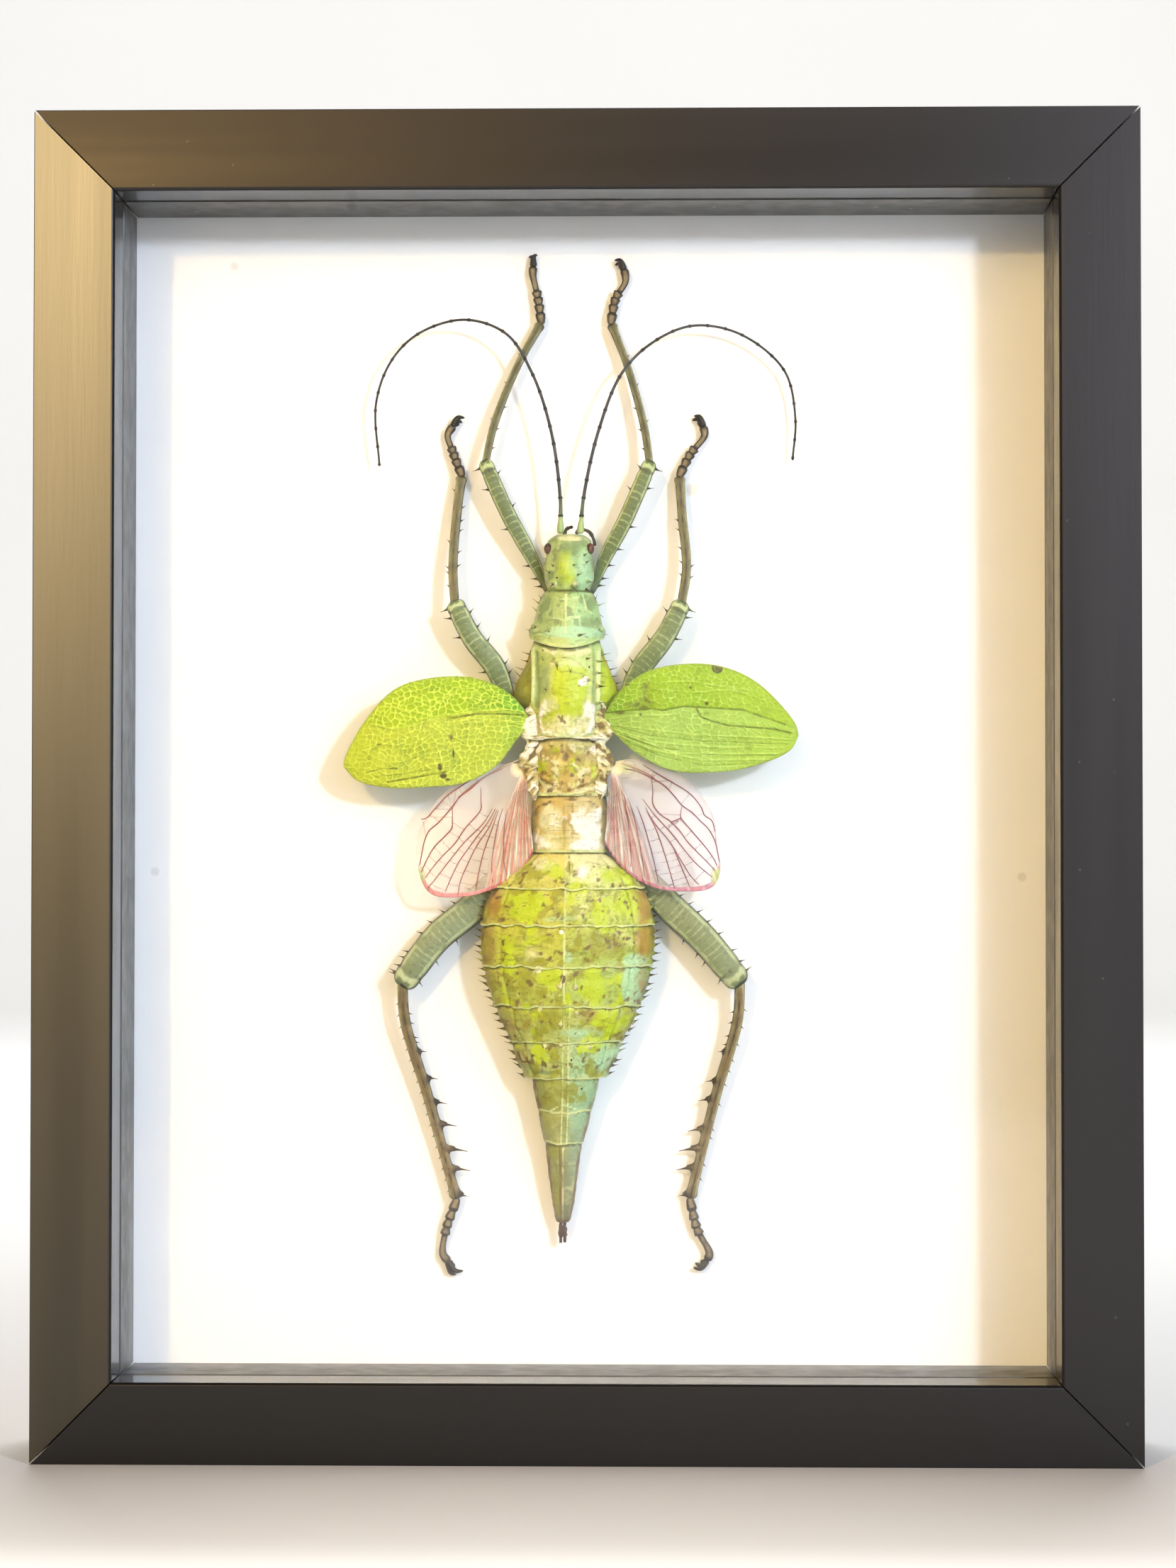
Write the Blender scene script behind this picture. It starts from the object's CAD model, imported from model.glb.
# A giant stick insect, spread and dried, fixed on a white card inside a deep
# black box frame. The frame comes first, then the specimen from its trunk out
# to the feet, feelers and wings, and last the room it stands in.

import math
import random

import bmesh
import bpy
import numpy as np
from mathutils import Matrix, Vector, noise


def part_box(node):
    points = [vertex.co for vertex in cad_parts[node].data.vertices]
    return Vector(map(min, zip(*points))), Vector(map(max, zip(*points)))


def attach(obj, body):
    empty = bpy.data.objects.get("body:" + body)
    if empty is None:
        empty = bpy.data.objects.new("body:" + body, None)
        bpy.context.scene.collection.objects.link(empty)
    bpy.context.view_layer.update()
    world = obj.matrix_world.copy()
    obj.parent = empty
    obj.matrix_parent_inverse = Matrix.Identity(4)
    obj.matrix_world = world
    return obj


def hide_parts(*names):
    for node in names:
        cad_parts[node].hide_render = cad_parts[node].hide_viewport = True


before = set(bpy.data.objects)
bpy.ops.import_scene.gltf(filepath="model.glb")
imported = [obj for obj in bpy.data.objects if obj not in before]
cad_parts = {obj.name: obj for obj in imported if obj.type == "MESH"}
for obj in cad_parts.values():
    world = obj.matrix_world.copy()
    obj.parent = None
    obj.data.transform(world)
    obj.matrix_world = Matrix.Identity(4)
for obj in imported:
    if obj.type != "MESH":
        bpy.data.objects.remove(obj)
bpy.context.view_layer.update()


# ---- Frame rails ----
# Four lengths of moulded wood, mitred at the corners and glued. They are
# sprayed with satin black lacquer, and the wall round the opening is polished.

def tone(red, green, blue):
    """A colour from its 0 to 255 screen values."""
    shares = [c / 255 for c in (red, green, blue)]
    return (*[c / 12.92 if c <= 0.04045 else ((c + 0.055) / 1.055) ** 2.4 for c in shares], 1.0)


def plug(tree, value, socket):
    """Sets a socket, or links it to another. A colour is given by its 0 to 255 screen values."""
    if isinstance(value, bpy.types.NodeSocket):
        tree.links.new(value, socket)
    else:
        socket.default_value = tone(*value) if socket.type == "RGBA" else value


def add_node(tree, kind, sockets=None, **settings):
    """A shader node, with its settings, and its sockets set or linked by name or number."""
    node = tree.nodes.new("ShaderNode" + kind)
    for name, value in settings.items():
        setattr(node, name, value)
    for key, value in (sockets or {}).items():
        plug(tree, value, node.inputs[key])
    return node


def math_node(tree, how, first, second):
    return add_node(tree, "Math", {0: first, 1: second}, operation=how).outputs[0]


def times(tree, first, second):
    return math_node(tree, "MULTIPLY", first, second)


def mixed(tree, share, first, second, how="MIX"):
    """The colour that goes from the first to the second as share goes from 0 to 1."""
    sockets = {0: share, 6: first, 7: second}
    return add_node(tree, "Mix", sockets, data_type="RGBA", blend_type=how).outputs[2]


def ranged(tree, value, low, high, start=0.0, end=1.0):
    """value taken smoothly from the range low to high to the range start to end."""
    sockets = {"Value": value, "From Min": low, "From Max": high, "To Min": start, "To Max": end}
    return add_node(tree, "MapRange", sockets, interpolation_type="SMOOTHSTEP").outputs["Result"]


def ramp(tree, value, stops):
    """A colour ramp of (position, colour) stops."""
    node = add_node(tree, "ValToRGB", {"Fac": value})
    bar = node.color_ramp.elements
    while len(bar) < len(stops):
        bar.new(0.5)
    for element, (position, colour) in zip(bar, stops):
        element.position = position
    for element, (position, colour) in zip(bar, stops):
        element.color = tone(*colour)
    return node.outputs["Color"]


def cloud(tree, vector, scale, detail=3.0, rough=0.5, distortion=0.0):
    sockets = {"Vector": vector, "Scale": scale, "Detail": detail, "Roughness": rough,
               "Distortion": distortion}
    return add_node(tree, "TexNoise", sockets).outputs["Fac"]


def stretched(tree, vector, scale):
    return add_node(tree, "Mapping", {"Vector": vector, "Scale": scale}).outputs["Vector"]


def new_group(name, inputs, outputs):
    """An empty shader group with named number or vector sockets, and its two end nodes."""
    group = bpy.data.node_groups.new(name, "ShaderNodeTree")
    for label, default in inputs.items():
        kind = "NodeSocketVector" if default is None else "NodeSocketFloat"
        socket = group.interface.new_socket(label, in_out="INPUT", socket_type=kind)
        if default is not None:
            socket.default_value = default
    for label in outputs:
        group.interface.new_socket(label, in_out="OUTPUT", socket_type="NodeSocketFloat")
    return group, group.nodes.new("NodeGroupInput").outputs, group.nodes.new("NodeGroupOutput").inputs


def new_finish(name, **values):
    """A material, its tree, its shader with plain values set, and its Object coordinates."""
    material = bpy.data.materials.new(name)
    material.use_nodes = True
    tree = material.node_tree
    shader = tree.nodes["Principled BSDF"]
    for label, value in values.items():
        shader.inputs[label.replace("_", " ").title().replace("Ior", "IOR")].default_value = value
    return material, tree, shader, add_node(tree, "TexCoord").outputs["Object"]


def finish(tree, shader, colour, rough, height, strength, distance):
    """Wires a shader's colour and roughness, and a bump as deep as distance where height is 1."""
    raised = add_node(tree, "Bump", {"Height": height, "Strength": strength, "Distance": distance})
    for label, value in (("Base Color", colour), ("Roughness", rough), ("Normal", raised.outputs["Normal"])):
        plug(tree, value, shader.inputs[label])


def dust_group():
    """Dust: small round specks, fewer where the amount is small."""
    group, start, end = new_group("dust", {"Vector": None, "Scale": 300.0, "Amount": 0.5}, ["Specks"])
    dots = add_node(group, "TexVoronoi", {"Vector": start["Vector"], "Scale": start["Scale"]}).outputs
    near = ranged(group, dots["Distance"], 0.16, 0.08)
    chosen = add_node(group, "SeparateColor", {"Color": dots["Color"]}).outputs["Red"]
    kept = math_node(group, "LESS_THAN", chosen, start["Amount"])
    plug(group, times(group, near, kept), end["Specks"])
    return group


def grain_group():
    """Grain: fine streaks along one axis, given as the stretched coordinates, and broad clouds."""
    group, start, end = new_group("grain", {"Vector": None, "Scale": 900.0}, ["Streaks", "Clouds"])
    plug(group, cloud(group, start["Vector"], start["Scale"], 4.0, 0.6), end["Streaks"])
    broad = times(group, start["Scale"], 0.07)
    plug(group, cloud(group, start["Vector"], broad, 2.0), end["Clouds"])
    return group


def place_group(tree, group, **sockets):
    return add_node(tree, "Group", {k.title(): v for k, v in sockets.items()}, node_tree=group).outputs


DUST = dust_group()
GRAIN = grain_group()


def dust(tree, spots, scale, amount):
    return place_group(tree, DUST, vector=spots, scale=scale, amount=amount)["Specks"]


def lacquer(name, low_rough, high_rough, stretch):
    """Satin black lacquer with faint streaks along the rail and a little dust."""
    material, tree, shader, spots = new_finish(name, specular_ior_level=0.5)
    grain = place_group(tree, GRAIN, vector=stretched(tree, spots, stretch), scale=1400.0)
    specks = dust(tree, spots, 420.0, 0.02)
    worn = mixed(tree, grain["Clouds"], (13, 13, 14), (18, 18, 20))
    finish(tree, shader, mixed(tree, specks, worn, (64, 62, 60)),
           ranged(tree, grain["Clouds"], 0.3, 0.7, low_rough, high_rough), grain["Streaks"], 0.12, 0.00006)
    return material


def only(piece):
    """Selects one piece alone and makes it the active one."""
    bpy.ops.object.select_all(action="DESELECT")
    piece.select_set(True)
    bpy.context.view_layer.objects.active = piece


def merged(gap, step, **settings):
    """Merges the active piece's points that are closer than gap, and takes one more step on its mesh."""
    bpy.ops.object.mode_set(mode="EDIT")
    bpy.ops.mesh.select_all(action="SELECT")
    bpy.ops.mesh.remove_doubles(threshold=gap)
    step(**settings)
    bpy.ops.object.mode_set(mode="OBJECT")


SEAM_GAP = 1e-6


def copied_node(node_name, name):
    """A new piece from a copy of a CAD node, its loose triangles merged to plain faces."""
    piece = bpy.data.objects.new(name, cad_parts[node_name].data.copy())
    piece.data.name = name
    bpy.context.scene.collection.objects.link(piece)
    only(piece)
    merged(SEAM_GAP, bpy.ops.mesh.dissolve_limited, angle_limit=math.radians(1))
    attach(piece, "root")
    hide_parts(node_name)
    return piece


def round_edges(piece, chosen, width, segments):
    """Bevels the edges that chosen(a, b) picks by their two ends."""
    only(piece)
    bpy.ops.object.mode_set(mode="EDIT")
    bpy.ops.mesh.select_mode(type="EDGE")
    bpy.ops.mesh.select_all(action="DESELECT")
    shape = bmesh.from_edit_mesh(piece.data)
    for edge in shape.edges:
        edge.select_set(chosen(edge.verts[0].co, edge.verts[1].co))
    bmesh.update_edit_mesh(piece.data)
    bpy.ops.mesh.bevel(offset=width, segments=segments, affect="EDGES")
    bpy.ops.object.mode_set(mode="OBJECT")
    bpy.ops.object.shade_flat()


def runs_along(a, b, axis):
    return abs((a - b).normalized().dot(axis)) > 0.99


def dress(piece, *materials):
    """Gives a piece its materials in place of any it has."""
    piece.data.materials.clear()
    for material in materials:
        piece.data.materials.append(material)


STRIP_ROUND = 0.0002
FACE_FRONT_Y = -0.0225
LIP_FRONT_Y = FACE_FRONT_Y + 0.0007
LIP_BACK_Y = -0.0105
OPENING_MIDDLE = Vector((0, 0, 0.14125))
ACROSS, UPWARD = Vector((1, 0, 0)), Vector((0, 0, 1))
RAIL_AXES = {"bottom": ACROSS, "top": ACROSS, "left": UPWARD, "right": UPWARD}
FLAT_LACQUER = lacquer("lacquer_satin_flat", 0.34, 0.40, (0.05, 1.0, 1.0))
UPRIGHT_LACQUER = lacquer("lacquer_satin_upright", 0.34, 0.40, (1.0, 1.0, 0.05))
LIP_LACQUER = lacquer("lacquer_polished", 0.16, 0.24, (0.3, 1.0, 0.3))

for side, axis in RAIL_AXES.items():
    rail = copied_node("frame_" + side, "rail_" + side)
    dress(rail, FLAT_LACQUER if axis == ACROSS else UPRIGHT_LACQUER, LIP_LACQUER)
    round_edges(rail, lambda a, b: runs_along(a, b, axis) and min(a.y, b.y) < LIP_BACK_Y + 1e-4,
                STRIP_ROUND, 3)
    for face in rail.data.polygons:
        faces_in = face.normal.dot(OPENING_MIDDLE - face.center) > 0 and abs(face.normal.y) < 0.2
        face.material_index = int(faces_in and LIP_FRONT_Y < face.center.y < LIP_BACK_Y)


# ---- Spacers ----
# Four dark grey plastic strips with mitred ends, flush with the polished lip.
# They hold the glass forward against the lip and the card back from it.

def spacer_plastic():
    material, tree, shader, spots = new_finish("spacer_plastic", specular_ior_level=0.5)
    specks = dust(tree, spots, 260.0, 0.05)
    shade = mixed(tree, cloud(tree, spots, 60.0), (62, 62, 66), (74, 74, 78))
    finish(tree, shader, mixed(tree, specks, shade, (150, 148, 144)),
           ranged(tree, cloud(tree, spots, 220.0), 0.3, 0.7, 0.34, 0.46), cloud(tree, spots, 2500.0),
           0.15, 0.00005)
    return material


SPACER_PLASTIC = spacer_plastic()
for side, axis in RAIL_AXES.items():
    spacer = copied_node("spacer_" + side, "spacer_strip_" + side)
    dress(spacer, SPACER_PLASTIC)
    round_edges(spacer, lambda a, b: runs_along(a, b, axis), STRIP_ROUND, 2)


# ---- Glass ----
# One pane of clear 2 mm picture glass behind the lip. It lets the lamps
# through to the card, and carries a few specks of dust.

def picture_glass():
    material, tree, shader, spots = new_finish(
        "picture_glass", transmission_weight=1.0, roughness=0.0, ior=1.45, specular_ior_level=0.5)
    specks = dust(tree, spots, 120.0, 0.02)
    plug(tree, mixed(tree, specks, (250, 253, 251), (222, 224, 222)), shader.inputs["Base Color"])
    clear = add_node(tree, "BsdfTransparent", {"Color": (250, 253, 251)})
    shadow_ray = add_node(tree, "LightPath").outputs["Is Shadow Ray"]
    both = add_node(tree, "MixShader", {0: shadow_ray, 1: shader.outputs["BSDF"], 2: clear.outputs["BSDF"]})
    plug(tree, both.outputs["Shader"], tree.nodes["Material Output"].inputs["Surface"])
    return material


dress(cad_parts["glass"], picture_glass())


# ---- Mount card ----
# A sheet of smooth white mount board. The specimen is fixed to it, and it
# lies against the backs of the spacers.

def mount_board():
    material, tree, shader, spots = new_finish("mount_board", specular_ior_level=0.25)
    fibres = cloud(tree, spots, 1800.0, 5.0, 0.6, 0.4)
    specks = dust(tree, spots, 90.0, 0.012)
    paper = mixed(tree, fibres, (236, 240, 250), (241, 245, 254))
    finish(tree, shader, mixed(tree, times(tree, specks, 0.5), paper, (196, 192, 186)),
           ranged(tree, fibres, 0.3, 0.7, 0.82, 0.92), fibres, 0.08, 0.00004)
    return material


dress(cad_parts["mount_card"], mount_board())


# ---- Back board, tabs and hanger ----
# A brown fibre board closes the back. Four bent zinc-plated steel tabs hold it
# in its rabbet, and a stamped saw-tooth hanger is nailed near its top.

def fibre_board():
    material, tree, shader, spots = new_finish("fibre_board", specular_ior_level=0.3)
    grain = place_group(tree, GRAIN, vector=stretched(tree, spots, (1.0, 1.0, 0.25)), scale=1100.0)
    browns = [(0.25, (112, 82, 54)), (0.5, (140, 106, 72)), (0.8, (168, 134, 96))]
    board = ramp(tree, grain["Streaks"], browns)
    finish(tree, shader, mixed(tree, grain["Clouds"], board, (122, 92, 62), "MULTIPLY"),
           ranged(tree, grain["Streaks"], 0.2, 0.8, 0.7, 0.9), grain["Streaks"], 0.3, 0.0001)
    return material


def zinc_plate():
    material, tree, shader, spots = new_finish("zinc_plate", metallic=1.0)
    crystals = add_node(tree, "TexVoronoi", {"Vector": spots, "Scale": 700.0}).outputs["Color"]
    spangle = add_node(tree, "SeparateColor", {"Color": crystals}).outputs["Red"]
    finish(tree, shader, mixed(tree, spangle, (168, 170, 172), (196, 198, 200)),
           ranged(tree, spangle, 0.0, 1.0, 0.28, 0.42), cloud(tree, spots, 900.0), 0.1, 0.00005)
    return material


def nail_head(x, y, z):
    """A domed nail head on a plate, facing the back."""
    bpy.ops.mesh.primitive_uv_sphere_add(segments=20, ring_count=10, radius=NAIL_HEAD, location=(x, y, z))
    head = bpy.context.object
    bpy.ops.object.mode_set(mode="EDIT")
    bpy.ops.mesh.select_all(action="SELECT")
    bpy.ops.mesh.bisect(plane_co=(x, y, z), plane_no=(0, 1, 0), use_fill=True, clear_inner=True)
    bpy.ops.mesh.select_all(action="SELECT")
    bpy.ops.transform.resize(value=(1, NAIL_STAND / NAIL_HEAD, 1), center_override=(x, y, z))
    bpy.ops.object.mode_set(mode="OBJECT")
    return head


def settle(piece, material, slot_name, *replaced):
    """Puts a finished piece's place in its mesh, and gives it its material, body, slot and nodes."""
    only(piece)
    bpy.ops.object.transform_apply(location=True, rotation=True, scale=True)
    dress(piece, material)
    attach(piece, "root")
    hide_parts(*replaced)


def joined(pieces, name):
    """Several pieces as one, under one name."""
    bpy.ops.object.select_all(action="DESELECT")
    for piece in pieces:
        piece.select_set(True)
    bpy.context.view_layer.objects.active = pieces[0]
    if len(pieces) > 1:
        bpy.ops.object.join()
    whole = bpy.context.object
    whole.name = name
    whole.data.name = name
    return whole


dress(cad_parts["back_board"], fibre_board())
ZINC = zinc_plate()
NAIL_HEAD, NAIL_STAND = 0.0016, 0.0006
HANGER_NAILS = 0.42
PLATE_ROUND = 0.00015

for node_name in ("tab_left_low", "tab_left_high", "tab_right_low", "tab_right_high", "hanger"):
    plate = copied_node(node_name, "plate_" + node_name)
    round_edges(plate, lambda a, b: True, PLATE_ROUND, 2)
    low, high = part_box(node_name)
    middle = (low + high) / 2
    reach = (high.x - low.x) * HANGER_NAILS
    across = (-reach, reach) if node_name == "hanger" else (0.0,)
    nails = [nail_head(middle.x + dx, high.y, middle.z) for dx in across]
    plate = joined([plate, *nails], "plate_" + node_name)
    bpy.ops.object.shade_smooth_by_angle(angle=math.radians(40))
    settle(plate, ZINC, "zinc_steel", node_name)


# ---- Trunk ----
# Head, three thorax plates, nine abdomen plates and the egg-laying beak are one
# hard dried skin. Each plate's rear rim stands over the front of the next.

WAIST = Vector((-0.0043, 0.0115, 0.1393))
SIDES = {"left": -1, "right": 1}


def spots_at(x, z, height):
    """Points in metres from millimetres across, along and off the card, from the specimen's waist."""
    return np.stack([WAIST.x + x / 1000, WAIST.y - height / 1000, WAIST.z + z / 1000], -1)


def eased(value, low, high):
    """0 below low, 1 above high and smooth between them."""
    share = np.clip((value - low) / (high - low), 0, 1)
    return share * share * (3 - 2 * share)


def peak(value, width):
    """1 where the value is 0, falling away smoothly to the width and beyond."""
    return np.exp(-(value / width) ** 2)


def flowing(place, places, values):
    """A smooth curve through the values at rising places."""
    places, values = np.asarray(places, float), np.asarray(values, float)
    slopes = np.gradient(values, places)
    k = np.clip(np.searchsorted(places, place) - 1, 0, len(places) - 2)
    width = places[k + 1] - places[k]
    t = np.clip((place - places[k]) / width, 0, 1)
    return (values[k] * (2 * t**3 - 3 * t**2 + 1) + slopes[k] * width * (t**3 - 2 * t**2 + t)
            + values[k + 1] * (3 * t**2 - 2 * t**3) + slopes[k + 1] * width * (t**3 - t**2))


def rough_noise(points, scale, layers):
    """Smooth noise, about -1 to 1, at points in millimetres."""
    at = [Vector(p) * scale for p in points]
    return np.array([noise.fractal(p, 0.9, 2.0, layers, noise_basis="PERLIN_ORIGINAL") for p in at])


def write_marks(piece, marks):
    """Stores each mark, a share at every point, as an attribute for the finishes to read."""
    for label, values in marks.items():
        held = piece.data.attributes.get(label) or piece.data.attributes.new(label, "FLOAT", "POINT")
        held.data.foreach_set("value", np.full(len(held.data), values, np.float32))


def grid_skin(name, columns, rows, place):
    """A flat grid put in place: place(share of x, share of y) gives the points and the marks on them."""
    bpy.ops.object.select_all(action="DESELECT")
    bpy.ops.mesh.primitive_grid_add(x_subdivisions=columns, y_subdivisions=rows, size=1)
    skin = bpy.context.object
    skin.name = name
    skin.data.name = name
    flat = np.empty(len(skin.data.vertices) * 3)
    skin.data.vertices.foreach_get("co", flat)
    flat = flat.reshape(-1, 3)
    points, marks = place(flat[:, 0] + 0.5, flat[:, 1] + 0.5)
    skin.data.vertices.foreach_set("co", points.ravel())
    write_marks(skin, marks)
    return skin


def wrapped(name, around, along, place):
    """A closed skin: a grid curled into a tube along a run and merged at its seam and its two ends.

    place(turn, run) takes shares round from the underside and along the run.
    """
    skin = grid_skin(name, around, along, place)
    merged(SEAM_GAP, bpy.ops.mesh.normals_make_consistent, inside=False)
    bpy.ops.object.shade_smooth_by_angle(angle=math.radians(55))
    return skin


def distance_to(x, z, points):
    """How far each place is from a line of points."""
    nearest = np.full(x.shape, 1e9)
    for (ax, az), (bx, bz) in zip(points, points[1:]):
        share = ((x - ax) * (bx - ax) + (z - az) * (bz - az)) / ((bx - ax) ** 2 + (bz - az) ** 2)
        share = np.clip(share, 0, 1)
        nearest = np.minimum(nearest, np.hypot(x - ax - share * (bx - ax), z - az - share * (bz - az)))
    return nearest


# Each plate, front one first: rings of z, half width, top, side edge and underside.
HEAD = [
    (56.4, 2.9, 9.6, 7.4, 5.2), (55.9, 3.3, 10.2, 7.6, 5.0), (55.0, 4.1, 11.0, 8.0, 4.6),
    (53.6, 4.6, 12.0, 8.2, 4.0), (51.4, 4.95, 12.9, 8.4, 3.6), (48.8, 5.3, 13.3, 8.4, 3.5),
    (46.4, 5.1, 13.2, 8.2, 3.7), (44.0, 4.3, 12.3, 8.0, 4.4)]
PROTHORAX = [
    (44.0, 5.2, 12.2, 8.0, 3.6), (41.2, 6.4, 13.2, 8.0, 3.0), (38.2, 7.0, 13.6, 7.8, 2.5),
    (35.4, 7.75, 13.9, 7.6, 2.2), (33.8, 7.5, 13.8, 7.6, 2.2)]
MESOTHORAX = [
    (33.8, 7.2, 13.9, 7.4, 2.2), (31.0, 7.9, 14.6, 7.0, 2.0), (28.4, 8.8, 15.1, 6.4, 1.8),
    (25.8, 9.9, 15.4, 6.0, 1.6), (23.4, 10.9, 15.6, 5.6, 1.4), (21.8, 11.2, 15.6, 5.6, 1.4),
    (20.2, 10.2, 15.6, 6.0, 1.4), (18.4, 8.4, 15.5, 6.4, 1.4), (16.0, 7.7, 15.2, 6.6, 1.4),
    (12.3, 7.6, 14.6, 7.0, 1.6)]
METATHORAX = [
    (12.3, 7.7, 14.3, 6.9, 1.5), (8.0, 8.1, 14.5, 6.8, 1.3), (4.0, 8.2, 14.3, 6.8, 1.2),
    (0.0, 8.1, 14.0, 6.8, 1.2)]
ABDOMEN = [
    (0.0, 8.05, 14.0, 7.6, 1.2), (-12.1, 8.05, 13.6, 8.0, 1.0), (-19.7, 16.0, 15.0, 8.6, 0.8),
    (-27.6, 18.2, 16.0, 8.6, 0.6), (-36.3, 17.7, 16.0, 8.4, 0.6), (-45.0, 15.1, 15.2, 8.0, 0.6),
    (-52.4, 11.5, 13.8, 7.6, 0.7), (-60.2, 8.4, 12.2, 7.2, 0.8), (-67.5, 5.6, 10.6, 6.6, 1.4),
    (-74.2, 4.1, 9.4, 6.0, 1.8)]
BEAK = [
    (-74.2, 4.0, 9.2, 5.9, 1.9), (-77.7, 3.6, 8.6, 5.4, 1.9), (-83.4, 2.8, 7.2, 4.6, 2.1),
    (-89.2, 1.95, 5.7, 4.0, 2.3), (-91.0, 1.55, 5.3, 3.9, 2.4), (-91.7, 1.35, 5.1, 3.9, 2.5)]
# The second segment widens faster than its two ends say, and the eighth starts narrow.
SECOND_RINGS = [(-14.4, 10.4, 14.0, 8.2, 0.9), (-17.0, 14.0, 14.6, 8.4, 0.8)]
EIGHTH_WIDTH = 7.2


def plates():
    """Every plate as its rings, how many stations it has and what kind it is."""
    made = [(HEAD, 40, "head"), (PROTHORAX, 36, "prothorax"), (MESOTHORAX, 66, "mesothorax"),
            (METATHORAX, 34, "metathorax")]
    for index, (front, rear) in enumerate(zip(ABDOMEN, ABDOMEN[1:])):
        if index == 7:
            front = (front[0], EIGHTH_WIDTH, *front[2:])
        between = SECOND_RINGS if index == 1 else []
        made.append(([front, *between, rear], 26 if index < 7 else 20, "abdomen"))
    return [*made, (BEAK, 40, "beak")]


# The middle of the body swings a little from side to side: z, and how far right.
MIDDLE_PLACES = [-95, -74.2, -67.5, -60.2, -52.4, -45, -36.3, -12, 0, 6, 12.3, 24, 33.8, 44, 56]
MIDDLES = [-1.2, -1.0, -0.7, -0.5, -0.4, -0.2, -0.1, 0.2, 0.3, 0.3, -0.45, -0.45, -0.3, 0.15, 0.25]
COLLAR_BOW = 2.3
BACK_SHARE = 0.78
AROUND_TRUNK = 148

stations = []
for order, (rings, count, kind) in enumerate(plates()):
    depth = np.array([-ring[0] for ring in rings])
    share = np.linspace(0, 1, count)
    if kind != "head":
        share = share + 0.5 * (eased(share, 0, 0.5) * 0.5 + eased(share, 0.5, 1) * 0.5 - share) * 0.6
    place = depth[0] + share * (depth[-1] - depth[0])
    sizes = [flowing(place, depth, [ring[k] for ring in rings]) for k in range(1, 5)]
    stations += [(-p, *row, s, order) for p, s, row in zip(place, share, zip(*sizes))]
stations = np.array(stations)
PLATE_KINDS = [kind for rings, count, kind in plates()]

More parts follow.
